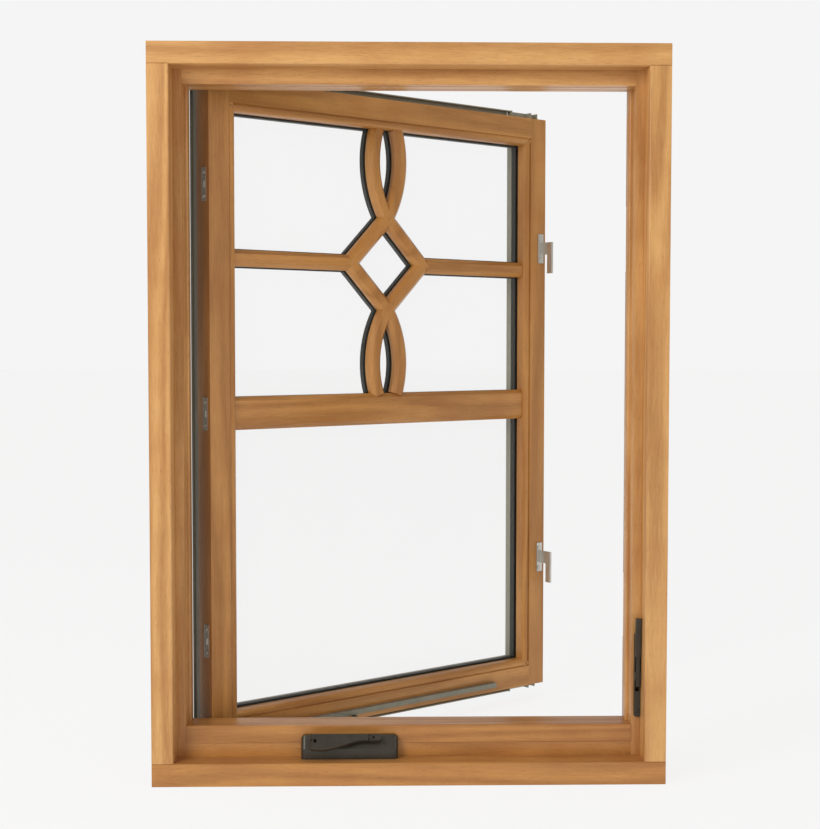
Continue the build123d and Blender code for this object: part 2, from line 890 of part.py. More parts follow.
with BuildPart() as sash_clad_rails:
    for sign, base in ((-1, sash_height), (1, 0.0)):
        rail_channel = [(y, x) for x, y in channel_points(flange_overlap, sign, base)]
        extrude(
            outline(sash_side(glass_edge), *rail_channel),
            amount=sash_width - 2 * glass_edge,
            dir=sash_along,
        )
save(sash_clad_rails, "sash_clad_rails")


# ---- hinges: a track, a support arm and a sliding shoe at the foot and at the head ----
hinge_floor = sill_nose_level
sash_foot = sash_bottom
mirror_sum = 2 * sash_bottom + sash_height
arm_layer = hinge_floor + track_rail + shoe_height + part_gap + hinge_plate
plate_layer = sash_foot - hinge_plate


def level_span(low, high, upper):
    """Heights of one layer of the hinge, mirrored for the hinge at the head."""
    return (mirror_sum - high, mirror_sum - low) if upper else (low, high)


def post(x, y, radius, low, high, upper, mode=Mode.ADD):
    """Upright cylinder of the hinge between two heights."""
    base, top = level_span(low, high, upper)
    with Locations(Location((x, y, (base + top) / 2))):
        Cylinder(radius, top - base, mode=mode)


def slab(sketch_face, low, high, upper):
    """Flat piece of the hinge of a given outline between two heights."""
    base, top = level_span(low, high, upper)
    extrude(Pos(0, 0, base) * sketch_face, amount=top - base, dir=(0, 0, 1))


def link_outline(x1, y1, x2, y2, radius_1, radius_2):
    """Plan of an arm with rounded ends about two pivots."""
    with BuildSketch() as link:
        with Locations((x1, y1)):
            Circle(radius_1)
        with Locations((x2, y2)):
            Circle(radius_2)
        make_hull()
    return link.sketch


shoe_top = hinge_floor + track_rail + shoe_height
track_half = shoe_width / 2 + part_gap
track_left = shoe_closed_x - shoe_length / 2 - 2.0
track_right = anchor_x + 2 * boss_radius
with BuildPart() as hinge_tracks:
    for upper in (False, True):
        floor_sketch = block(Plane.XY, track_left, track_y - track_half - track_rail, track_right, track_y + track_half + track_rail)
        slab(floor_sketch, hinge_floor, hinge_floor + track_rail, upper)
        for edge_y in (track_y - track_half - track_rail, track_y + track_half):
            wall_sketch = block(Plane.XY, track_left, edge_y, track_right, edge_y + track_rail)
            slab(wall_sketch, hinge_floor, shoe_top, upper)
        post(anchor_x, track_y, boss_radius, hinge_floor, shoe_top + part_gap / 2, upper)
        post(anchor_x, track_y, rivet_radius, hinge_floor, arm_layer, upper)
save(hinge_tracks, "hinge_tracks")

hinge_arm_names = ((False, "hinge_arm_lower", running_clearance), (True, "hinge_arm_upper", open_pivot_clearance))
for upper, arm_name, elbow_clearance in hinge_arm_names:
    with BuildPart() as hinge_arm:
        arm_sketch = link_outline(anchor_x, track_y, elbow_x, elbow_y, hinge_arm_width / 2, hinge_arm_width / 2)
        slab(arm_sketch, arm_layer - hinge_plate, arm_layer, upper)
        post(anchor_x, track_y, rivet_radius + running_clearance, hinge_floor, sash_foot, upper, Mode.SUBTRACT)
        post(elbow_x, elbow_y, rivet_radius + elbow_clearance, hinge_floor, sash_foot, upper, Mode.SUBTRACT)
    save(hinge_arm, arm_name)

for upper, shoe_name in ((False, "hinge_shoe_lower"), (True, "hinge_shoe_upper")):
    with BuildPart() as hinge_shoe:
        shoe_sketch = block(
            Plane.XY,
            shoe_x - shoe_length / 2,
            track_y - shoe_width / 2,
            shoe_x + shoe_length / 2,
            track_y + shoe_width / 2,
        )
        slab(shoe_sketch, hinge_floor + track_rail + running_clearance, shoe_top, upper)
        post(shoe_x, track_y, rivet_radius + running_clearance, hinge_floor, sash_foot, upper, Mode.SUBTRACT)
    save(hinge_shoe, shoe_name)

with BuildPart() as sash_hinge_arms:
    for upper in (False, True):
        plate_sketch = outline(
            sash_plan(-sash_bottom),
            (1.0, hinge_line - hinge_arm_width / 2),
            (sash_arm_length, hinge_line - hinge_arm_width / 2),
            (sash_arm_length, hinge_line + hinge_arm_width / 2),
            (1.0, hinge_line + hinge_arm_width / 2),
        )
        slab(plate_sketch, plate_layer, sash_foot, upper)
        post(elbow_x, elbow_y, boss_radius, arm_layer + part_gap / 2, plate_layer, upper)
        post(elbow_x, elbow_y, rivet_radius, arm_layer - hinge_plate, plate_layer, upper)
        post(shoe_x, track_y, boss_radius, shoe_top + part_gap / 2, plate_layer, upper)
        post(shoe_x, track_y, rivet_radius, hinge_floor + track_rail + part_gap, plate_layer, upper)
save(sash_hinge_arms, "sash_hinge_arms")

# ---- track on the sash for the operator arm, keepers and snubbers ----
track_foot = sash_track_level - sash_bottom
track_back = -sash_track_depth
with BuildPart() as sash_track:
    extrude(
        outline(
            sash_side(sash_track_start),
            (0, track_foot),
            (0, track_foot + sash_track_height),
            (track_back, track_foot + sash_track_height),
            (track_back, track_foot),
            (track_back + sash_track_wall, track_foot),
            (track_back + sash_track_wall, track_foot + sash_track_height - sash_track_wall),
            (-sash_track_wall, track_foot + sash_track_height - sash_track_wall),
            (-sash_track_wall, track_foot),
        ),
        amount=sash_track_end - sash_track_start,
        dir=sash_along,
    )
    add(sash_screws.part, mode=Mode.SUBTRACT)
save(sash_track, "sash_track")

keeper_low_x = sash_width - keeper_edge
flange_x = keeper_low_x + keeper_plate_width - keeper_thickness
with BuildPart() as keepers:
    for foot in keeper_feet:
        low = foot - sash_bottom
        extrude(
            block(sash_front(0), keeper_low_x, low, keeper_low_x + keeper_plate_width, low + keeper_height),
            amount=keeper_plate_thickness,
        )
        flange_low = low + keeper_flange_rise
        flange_high = flange_low + keeper_flange_height
        extrude(
            block(sash_front(0), flange_x, flange_low, flange_x + keeper_thickness, flange_high),
            amount=keeper_reach,
        )
        hook_plane = sash_front(-(keeper_reach - keeper_hook_depth))
        extrude(
            block(hook_plane, flange_x, flange_low - keeper_hook_drop, flange_x + keeper_thickness, flange_high),
            amount=keeper_hook_depth,
        )
    add(sash_screws.part, mode=Mode.SUBTRACT)
save(keepers, "keepers")

with BuildPart() as sash_snubbers:
    for foot in snubber_feet:
        low = foot - sash_bottom
        edge = snubber_middle - snubber_width / 2
        extrude(
            block(sash_side(0), edge, low, edge + snubber_width, low + snubber_height),
            amount=snubber_thickness,
            dir=(-cos(turn), -sin(turn), 0),
        )
        extrude(
            block(
                sash_side(-snubber_thickness),
                edge + snubber_width / 4,
                low + snubber_height * 0.4,
                edge + snubber_width * 0.75,
                low + snubber_height * 0.6,
            ),
            amount=snubber_tab_rise,
            dir=(-cos(turn), -sin(turn), 0),
        )
    add(sash_screws.part, mode=Mode.SUBTRACT)
save(sash_snubbers, "sash_snubbers")

# ---- operator: base, worm and arm, hidden in the sill's mortise ----
operator_y = y_at(operator_pivot_setback)
arm_turn = radians(arm_closed_angle) + arm_ratio * turn
arm_tip_x = operator_x + operator_arm_length * cos(arm_turn)
arm_tip_y = operator_y + operator_arm_length * sin(arm_turn)
worm_y = operator_y - gear_radius - worm_radius - mesh_gap
worm_z = gear_level + gear_width / 2
base_top = sill_thickness + base_thickness
worm_plane = Plane.YZ.offset(operator_x)
bevel_x = crank_x + stud_bevel_radius + 0.6


def rod_x(x_low, x_high, radius, clearance=0.0, mode=Mode.ADD):
    """Cylinder on the worm's line between two positions along the sill."""
    with Locations(Location(((x_low + x_high) / 2, worm_y, worm_z), (0, 90, 0))):
        Cylinder(radius + clearance, x_high - x_low, mode=mode)


bearing_spots = (crank_x + 17.0, operator_x + worm_length / 2 + 1.0)
bearing_width = 5.0
shaft_left = bevel_x
shaft_right = bearing_spots[1] + bearing_width + 0.5
with BuildPart() as operator_base:
    extrude(
        block(
            Plane.XY.offset(sill_thickness),
            mortise_left + part_gap,
            y_at(cover_setback + cover_wall + 0.5),
            mortise_right - part_gap,
            operator_y + 2 * arm_hub_radius,
        ),
        amount=base_thickness,
    )
    for spot in bearing_spots:
        extrude(
            block(
                Plane.XY.offset(sill_thickness),
                spot,
                worm_y - worm_shaft_radius - 2.0,
                spot + bearing_width,
                worm_y + worm_shaft_radius + 2.0,
            ),
            amount=worm_z + worm_shaft_radius + 2.0 - sill_thickness,
        )
    rod_x(shaft_left, shaft_right + 2.0, worm_shaft_radius, running_clearance, Mode.SUBTRACT)
    with Locations(Location((operator_x, operator_y, (sill_thickness + gear_level + gear_width) / 2))):
        Cylinder(rivet_radius, gear_level + gear_width - sill_thickness)
    with Locations(Location((operator_x, operator_y, (sill_thickness + arm_level - 0.3) / 2))):
        Cylinder(boss_radius, arm_level - 0.3 - sill_thickness)
save(operator_base, "operator_base")

with BuildPart() as worm_shaft:
    rod_x(shaft_left, shaft_right, worm_shaft_radius)
    rod_x(operator_x - worm_length / 2, operator_x + worm_length / 2, worm_radius)
    rod_x(bevel_x, bevel_x + 3.0, stud_bevel_radius)
    with BuildSketch(Plane.YZ.offset(operator_x - worm_length / 2)):
        with Locations((worm_y, worm_z)):
            with PolarLocations(worm_radius, 3):
                Rectangle(1.0, 1.2)
    extrude(amount=worm_length, mode=Mode.SUBTRACT)
save(worm_shaft, "worm_shaft")

with BuildPart() as operator_arm:
    arm_link = link_outline(operator_x, operator_y, arm_tip_x, arm_tip_y, arm_hub_radius, arm_tip_radius)
    extrude(Pos(0, 0, arm_level) * arm_link, amount=arm_thickness, dir=(0, 0, 1))
    with Locations(Location((operator_x, operator_y, (arm_level + gear_level) / 2))):
        Cylinder(boss_radius, gear_level - arm_level)
    stud_top = sash_track_level + sash_track_height - sash_track_wall - 1.0
    with Locations(Location((arm_tip_x, arm_tip_y, (arm_level + stud_top) / 2))):
        Cylinder(arm_stud_radius, stud_top - arm_level)
    with Locations(Location((operator_x, operator_y, arm_level))):
        Cylinder(rivet_radius + running_clearance, 4 * arm_thickness, mode=Mode.SUBTRACT)
save(operator_arm, "operator_arm")

with BuildPart() as operator_gear:
    with BuildSketch(Plane.XY.offset(gear_level)):
        with Locations((operator_x, operator_y)):
            Circle(gear_radius)
            Circle(rivet_radius + running_clearance, mode=Mode.SUBTRACT)
            with PolarLocations(gear_radius, gear_teeth):
                Rectangle(tooth_depth, gear_radius * 0.14, mode=Mode.SUBTRACT)
    extrude(amount=gear_width)
save(operator_gear, "operator_gear")

tip_local = (Vector(arm_tip_x, arm_tip_y, 0) - Vector(corner_x, corner_y, 0)).dot(Vector(cos(turn), sin(turn), 0))
tip_setback = (Vector(arm_tip_x, arm_tip_y, 0) - Vector(corner_x, corner_y, 0)).dot(Vector(-sin(turn), cos(turn), 0))
arm_shoe_low = sash_track_level + 1.0
with BuildPart() as arm_shoe:
    extrude(
        block(
            sash_plan(arm_shoe_low - sash_bottom),
            tip_local - arm_shoe_length / 2,
            tip_setback - arm_shoe_width / 2,
            tip_local + arm_shoe_length / 2,
            tip_setback + arm_shoe_width / 2,
        ),
        amount=stud_top - arm_shoe_low,
        dir=(0, 0, 1),
    )
    with Locations(Location((arm_tip_x, arm_tip_y, sash_track_level))):
        Cylinder(arm_stud_radius + running_clearance, 4 * sash_track_height, mode=Mode.SUBTRACT)
save(arm_shoe, "arm_shoe")

# ---- operator cover, with a sloping face round the crank's stud ----
elevation = radians(crank_elevation)
crank_axis = (0, -cos(elevation), sin(elevation))


def crank_plane(height=0.0):
    """Plane square to the crank's axis: x along the sill, at a height above the hub's middle."""
    y = y_at(crank_setback) + height * crank_axis[1]
    z = crank_level + height * crank_axis[2]
    return Plane(origin=(crank_x, y, z), x_dir=(1, 0, 0), z_dir=crank_axis)


cover_back = y_at(stop_setback - 0.8)
cover_foot = sill_thickness + cover_bottom_gap
cover_top = sill_thickness + cover_height


def cover_profile(plane, inset, back):
    """Side section of the cover, with the whole outline drawn in by a wall thickness."""
    return outline(
        plane,
        (y_at(cover_setback) + inset, cover_foot),
        (y_at(cover_setback) + inset, sill_thickness + cover_shoulder - inset / 3),
        (y_at(cover_setback + cover_slope) + inset / 2, cover_top - inset),
        (back, cover_top - inset),
        (back, cover_foot),
    )


with BuildPart() as operator_cover:
    extrude(cover_profile(Plane.YZ.offset(cover_left), 0.0, cover_back), amount=cover_right - cover_left)
    end_edges = operator_cover.edges().filter_by(lambda e: abs(e.center().X - cover_left) < 0.1 or abs(e.center().X - cover_right) < 0.1)
    fillet([e for e in end_edges if e.center().Y < cover_back - 1.0 and e.center().Z > cover_foot + 1.0], cover_round)
    extrude(
        cover_profile(Plane.YZ.offset(cover_left + cover_round), cover_wall, cover_back),
        amount=cover_right - cover_left - 2 * cover_round,
        mode=Mode.SUBTRACT,
    )
    with BuildSketch(crank_plane(-18.0)):
        Circle(8.5)
    extrude(amount=18.0 + crank_hub_low - 0.7)
    with BuildSketch(crank_plane(-18.0)):
        Circle(crank_stud_radius + running_clearance)
    extrude(amount=40.0, mode=Mode.SUBTRACT)
save(operator_cover, "operator_cover")

# ---- folding crank ----
with BuildPart() as crank_stud:
    with BuildSketch(crank_plane(-20.0)):
        Circle(crank_stud_radius)
    extrude(amount=20.0 + crank_hub_low + hub_disc)
    with BuildSketch(crank_plane(-23.0)):
        Circle(stud_bevel_radius)
    extrude(amount=3.0)
save(crank_stud, "crank_stud")



def cross_rod(along, level, radius, length, aside=0.0, mode=Mode.ADD):
    """Cylinder across the crank, at a place along it, a level above the hub's middle and an offset aside."""
    with Locations(crank_plane().location * Pos(along, aside, level) * Rot(90, 0, 0)):
        Cylinder(radius, length, mode=mode)


with BuildPart() as crank_hub:
    with BuildSketch(crank_plane(crank_hub_low)):
        Circle(crank_hub_radius)
    extrude(amount=hub_disc)
    with BuildSketch(crank_plane(crank_hub_low + hub_disc)):
        with Locations((fold_x, 0)):
            Rectangle(2 * lug_radius, lug_width)
    extrude(amount=fold_pin_level - crank_hub_low - hub_disc)
    cross_rod(fold_x, fold_pin_level, lug_radius, lug_width)
    with BuildSketch(crank_plane(crank_hub_low)):
        Circle(crank_stud_radius)
    extrude(amount=2 * crank_hub_radius, mode=Mode.SUBTRACT)
    cross_rod(fold_x, fold_pin_level, fold_pin_radius, 3 * crank_hub_radius, mode=Mode.SUBTRACT)
save(crank_hub, "crank_hub")

with BuildPart() as hub_fold_pin:
    cross_rod(fold_x, fold_pin_level, fold_pin_radius, paddle_width * 0.7)
save(hub_fold_pin, "hub_fold_pin")

paddle_floor = crank_hub_low + hub_disc + part_gap
paddle_left = fold_x - paddle_end_radius
knob_aside = paddle_top - handle_width / 2 - 0.8
knob_pivot = crank_reach + knob_half + 0.3
knob_level = paddle_floor + knob_half
with BuildPart() as crank_arm:
    with BuildSketch(crank_plane(paddle_floor)) as paddle:
        with BuildLine():
            low = Spline(
                (crank_reach, knob_aside - handle_width / 2),
                (crank_reach - 18.0, knob_aside - handle_width / 2 - 1.0),
                (crank_reach * 0.53, -paddle_width * 0.2),
                (crank_reach * 0.27, -paddle_width * 0.43),
                (0, paddle_top - paddle_width),
            )
            Polyline(
                low @ 1,
                (paddle_left, paddle_top - paddle_width + 1.0),
                (paddle_left, paddle_top),
                (crank_reach * 0.6, paddle_top),
                (crank_reach, knob_aside + handle_width / 2),
                low @ 0,
            )
        make_face()
        fillet([v for v in paddle.vertices() if v.X < crank_x + paddle_left + 1.0], 4.5)
    extrude(amount=paddle_thickness)
    top_plane = crank_plane(paddle_floor + paddle_thickness)
    top_edges = [
        edge for edge in crank_arm.edges() if abs((edge.center() - top_plane.origin).dot(top_plane.z_dir)) < 0.01
    ]
    fillet(top_edges, paddle_edge)
    with BuildSketch(crank_plane(paddle_floor)):
        with Locations((knob_pivot - 1.0, knob_aside)):
            Rectangle(8.0, knob_tab_width)
    extrude(amount=2 * knob_half)
    with BuildSketch(crank_plane(paddle_floor - 1.0)):
        with Locations((fold_x - 2 * lug_radius + lug_sweep, 0)):
            Rectangle(4 * lug_radius, lug_width + 2 * part_gap)
    extrude(amount=2 * paddle_thickness, mode=Mode.SUBTRACT)
    with BuildSketch(Plane(crank_plane().origin, crank_plane().x_dir, -crank_plane().y_dir)):
        with Locations((paddle_left, fold_pin_level)):
            Rectangle(2 * paddle_end_radius, 4 * paddle_end_radius)
        with Locations((fold_x, fold_pin_level)):
            Circle(paddle_end_radius, mode=Mode.SUBTRACT)
    extrude(amount=2 * paddle_width, both=True, mode=Mode.SUBTRACT)
    cross_rod(fold_x, fold_pin_level, fold_pin_radius + running_clearance, 3 * paddle_width, mode=Mode.SUBTRACT)
    cross_rod(knob_pivot, knob_level, knob_pin_radius, paddle_width, knob_aside, Mode.SUBTRACT)
save(crank_arm, "crank_arm")

with BuildPart() as knob_pin:
    cross_rod(knob_pivot, knob_level, knob_pin_radius, handle_width - 1.0, knob_aside)
save(knob_pin, "knob_pin")

with BuildPart() as crank_knob:
    with BuildSketch(crank_plane(paddle_floor)) as knob_face:
        with Locations(((knob_pivot + knob_end) / 2, knob_aside)):
            Rectangle(knob_end - knob_pivot, handle_width)
        fillet(knob_face.vertices().group_by(Axis.X)[-1], 2.5)
    extrude(amount=2 * knob_half)
    cross_rod(knob_pivot, knob_level, knob_half, handle_width, knob_aside)
    with BuildSketch(crank_plane(paddle_floor - 1.0)):
        with Locations((knob_pivot - 1.0, knob_aside)):
            Rectangle(13.4, knob_tab_width + 2 * part_gap)
    extrude(amount=4 * knob_half, mode=Mode.SUBTRACT)
    cross_rod(knob_pivot, knob_level, knob_pin_radius + running_clearance, paddle_width, knob_aside, Mode.SUBTRACT)
save(crank_knob, "crank_knob")

# ---- lock: escutcheon and lever on the side stop, tie bar with a pin for each keeper ----
plate_x = inner_x - lock_plate_width / 2 - 0.3
lever_y = y_at(lever_pivot_setback)
plate_front = stop_setback - lock_plate_thickness
with BuildPart() as lock_escutcheon:
    with BuildSketch(Plane.XZ.offset(-y_at(stop_setback))):
        with Locations((plate_x, lock_plate_bottom + lock_plate_height / 2)):
            RectangleRounded(lock_plate_width, lock_plate_height, 3.0)
    extrude(amount=lock_plate_thickness)
    for side in (-1, 1):
        cheek_x = lever_x + side * (slot_half + 0.9)
        extrude(
            block(
                Plane.XY.offset(lever_pivot_level - 7.0),
                cheek_x - 0.9,
                lever_y - 5.0,
                cheek_x + 0.9,
                y_at(stop_setback),
            ),
            amount=14.0,
        )
    extrude(
        block(
            Plane.XY.offset(lever_pivot_level - 1.5 * lever_tail),
            lever_x - slot_half,
            y_at(0),
            lever_x + slot_half,
            y_at(stop_setback),
        ),
        amount=3 * lever_tail,
        mode=Mode.SUBTRACT,
    )
    with Locations(Location((lever_x, lever_y, lever_pivot_level), (0, 90, 0))):
        Cylinder(lever_pin_radius, 2 * lock_plate_width, mode=Mode.SUBTRACT)
    for mark_z in (lock_plate_bottom + 10.0, lock_plate_bottom + lock_plate_height - 10.0):
        screw(Plane.XZ.offset(-y_at(plate_front)), plate_x, mark_z, Mode.SUBTRACT)
save(lock_escutcheon, "lock_escutcheon")

with BuildPart() as lever_pin:
    with Locations(Location((lever_x, lever_y, lever_pivot_level), (0, 90, 0))):
        Cylinder(lever_pin_radius, 2 * slot_half + 3.0)
save(lever_pin, "lever_pin")

lever_tip = lever_pivot_level + lever_length
with BuildPart() as lock_lever:
    extrude(
        outline(
            Plane.YZ.offset(lever_x - lever_thickness / 2),
            (lever_y - 4.0, lever_pivot_level - lever_tail),
            (lever_y + 4.0, lever_pivot_level - lever_tail),
            (lever_y + 4.0, lever_pivot_level + lever_tail),
            (y_at(plate_front) - lever_gap, lever_pivot_level + 30.0),
            (y_at(plate_front) - lever_gap, lever_tip - 20.0),
            (y_at(plate_front) - 4.0, lever_tip),
            (y_at(plate_front) - 12.0, lever_tip),
            (y_at(plate_front) - 8.5, lever_tip - 22.0),
            (y_at(plate_front) - 7.5, lever_pivot_level + 30.0),
        ),
        amount=lever_thickness,
    )
    extrude(
        outline(
            Plane.YZ.offset(lever_x - lever_width / 2),
            (y_at(plate_front) - lever_gap, lever_pivot_level + 32.0),
            (y_at(plate_front) - lever_gap, lever_tip - 20.0),
            (y_at(plate_front) - 4.0, lever_tip),
            (y_at(plate_front) - 12.0, lever_tip),
            (y_at(plate_front) - 8.5, lever_tip - 22.0),
            (y_at(plate_front) - 7.5, lever_pivot_level + 32.0),
        ),
        amount=lever_width,
    )
    with Locations(Location((lever_x, lever_y, lever_pivot_level), (0, 90, 0))):
        Cylinder(lever_pin_radius + running_clearance, 2 * lock_plate_width, mode=Mode.SUBTRACT)
save(lock_lever, "lock_lever")

with BuildPart() as tie_bar:
    extrude(
        block(
            Plane.XY.offset(tie_bar_low),
            tie_bar_x,
            y_at(tie_bar_setback),
            tie_bar_x + tie_bar_thickness,
            y_at(tie_bar_setback) + tie_bar_width,
        ),
        amount=tie_bar_high - tie_bar_low,
    )
    for foot in keeper_feet:
        pin_level = foot + keeper_flange_rise + keeper_flange_height / 2 - lock_pin_drop + 18.5
        pin_x = tie_bar_x - 9.0
        with Locations(Location(((tie_bar_x + pin_x) / 2, y_at(lock_pin_setback), pin_level), (0, 90, 0))):
            Cylinder(lock_pin_radius, tie_bar_x - pin_x)
save(tie_bar, "tie_bar")



with BuildPart() as frame_screws:
    for mark_z in (lock_plate_bottom + 10.0, lock_plate_bottom + lock_plate_height - 10.0):
        screw(Plane.XZ.offset(-y_at(plate_front)), plate_x, mark_z)
save(frame_screws, "frame_screws")
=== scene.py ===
"""Looks of a casement window in its frame: timber, cladding, glass and hardware.

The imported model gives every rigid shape. This script dresses each of those pieces, adds the
small ones that repeat or follow a path, and sets up the camera and a plain pale studio.
"""

from __future__ import annotations

import json
import logging
import math
from dataclasses import dataclass, field
from enum import Enum

import bmesh
import bpy
import numpy as np
from mathutils import Matrix, Vector

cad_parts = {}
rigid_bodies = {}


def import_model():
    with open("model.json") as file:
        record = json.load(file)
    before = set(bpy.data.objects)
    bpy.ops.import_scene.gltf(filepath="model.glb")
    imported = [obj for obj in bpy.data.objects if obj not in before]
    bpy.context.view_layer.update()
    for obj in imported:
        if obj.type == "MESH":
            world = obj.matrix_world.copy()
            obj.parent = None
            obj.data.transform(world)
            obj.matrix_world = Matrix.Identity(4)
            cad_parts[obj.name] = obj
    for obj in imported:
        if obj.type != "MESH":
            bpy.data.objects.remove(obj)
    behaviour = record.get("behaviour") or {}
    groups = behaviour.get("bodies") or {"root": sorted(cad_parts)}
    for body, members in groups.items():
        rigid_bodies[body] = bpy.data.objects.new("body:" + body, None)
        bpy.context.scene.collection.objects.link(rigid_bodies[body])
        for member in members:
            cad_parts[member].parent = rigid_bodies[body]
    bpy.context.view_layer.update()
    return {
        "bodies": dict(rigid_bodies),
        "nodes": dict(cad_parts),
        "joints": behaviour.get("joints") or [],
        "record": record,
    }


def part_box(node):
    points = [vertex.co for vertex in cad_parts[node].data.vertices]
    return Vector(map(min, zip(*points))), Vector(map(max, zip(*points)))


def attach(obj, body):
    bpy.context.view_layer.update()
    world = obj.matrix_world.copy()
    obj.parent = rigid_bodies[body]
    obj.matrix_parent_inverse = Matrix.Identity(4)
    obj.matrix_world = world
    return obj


log = logging.getLogger("window")

MM = 0.001
SASH_TURN = math.radians(36.85)

Colour = tuple[float, float, float]


class GrainRun(Enum):
    """Direction in which a board's grain runs."""

    UPRIGHT = "upright"
    LEVEL = "level"
    RISING = "rising"


class Place(Enum):
    """Which of the two turned families a timber piece belongs to."""

    FRAME = 0.0
    SASH = 1.0


class Wiring:
    """Small helper that adds and links nodes in one tree."""

    def __init__(self, tree: bpy.types.NodeTree) -> None:
        """Keep the tree that is being wired.

        Args:
            tree: Node tree of a material, world, group or modifier.
        """
        self.tree = tree

    def add(self, kind: str, **settings: object) -> bpy.types.Node:
        """Add a node and set its plain properties.

        Args:
            kind: Blender's identifier of the node type.
            settings: Attributes to set on the new node.

        Returns:
            The new node.
        """
        node = self.tree.nodes.new(kind)
        for name, value in settings.items():
            setattr(node, name, value)
        return node

    def join(self, source: bpy.types.NodeSocket, target: bpy.types.NodeSocket) -> None:
        """Link one output socket to one input socket."""
        self.tree.links.new(source, target)

    def feed(self, target: bpy.types.NodeSocket, value: object) -> None:
        """Give a socket either a link or a constant.

        Args:
            target: Input socket to fill.
            value: Output socket to link, or a plain value to set.
        """
        if isinstance(value, bpy.types.NodeSocket):
            self.join(value, target)
        else:
            target.default_value = value

    def math(
        self, operation: str, first: object, second: object = 0.0, clamp: bool = False
    ) -> bpy.types.NodeSocket:
        """Add a math node.

        Args:
            operation: Name of the operation.
            first: First operand, a socket or a number.
            second: Second operand, a socket or a number.
            clamp: Whether the result is held between 0 and 1.

        Returns:
            The output socket.
        """
        node = self.add("ShaderNodeMath", operation=operation, use_clamp=clamp)
        self.feed(node.inputs[0], first)
        self.feed(node.inputs[1], second)
        return node.outputs[0]

    def spread(
        self, value: object, low: float, high: float, new_low: float, new_high: float
    ) -> bpy.types.NodeSocket:
        """Map a value from one range to another, clamped at both ends.

        Args:
            value: Socket to map.
            low: Lower end of the incoming range.
            high: Upper end of the incoming range.
            new_low: Value given at the lower end.
            new_high: Value given at the upper end.

        Returns:
            The output socket.
        """
        node = self.add("ShaderNodeMapRange")
        self.feed(node.inputs["Value"], value)
        limits = (("From Min", low), ("From Max", high), ("To Min", new_low), ("To Max", new_high))
        for name, number in limits:
            node.inputs[name].default_value = number
        return node.outputs["Result"]

    def noise(
        self, vector: object, scale: float, detail: float = 2.0, rough: float = 0.5
    ) -> bpy.types.NodeSocket:
        """Add a noise texture and return its value.

        Args:
            vector: Coordinates to sample.
            scale: Frequency of the noise.
            detail: Number of finer layers.
            rough: Weight of the finer layers.

        Returns:
            The factor output socket.
        """
        node = self.add("ShaderNodeTexNoise")
        self.feed(node.inputs["Vector"], vector)
        node.inputs["Scale"].default_value = scale
        node.inputs["Detail"].default_value = detail
        node.inputs["Roughness"].default_value = rough
        return node.outputs[0]

    def blend_colours(
        self, factor: object, first: object, second: object, mode: str = "MIX"
    ) -> bpy.types.NodeSocket:
        """Mix two colours.

        Args:
            factor: Socket or number that drives the mix.
            first: Colour at factor 0.
            second: Colour at factor 1.
            mode: Blend mode.

        Returns:
            The output colour socket.
        """
        node = self.add("ShaderNodeMix", data_type="RGBA", blend_type=mode)
        self.feed(node.inputs[0], factor)
        self.feed(node.inputs[6], first if isinstance(first, bpy.types.NodeSocket) else (*first, 1.0))
        self.feed(node.inputs[7], second if isinstance(second, bpy.types.NodeSocket) else (*second, 1.0))
        return node.outputs[2]


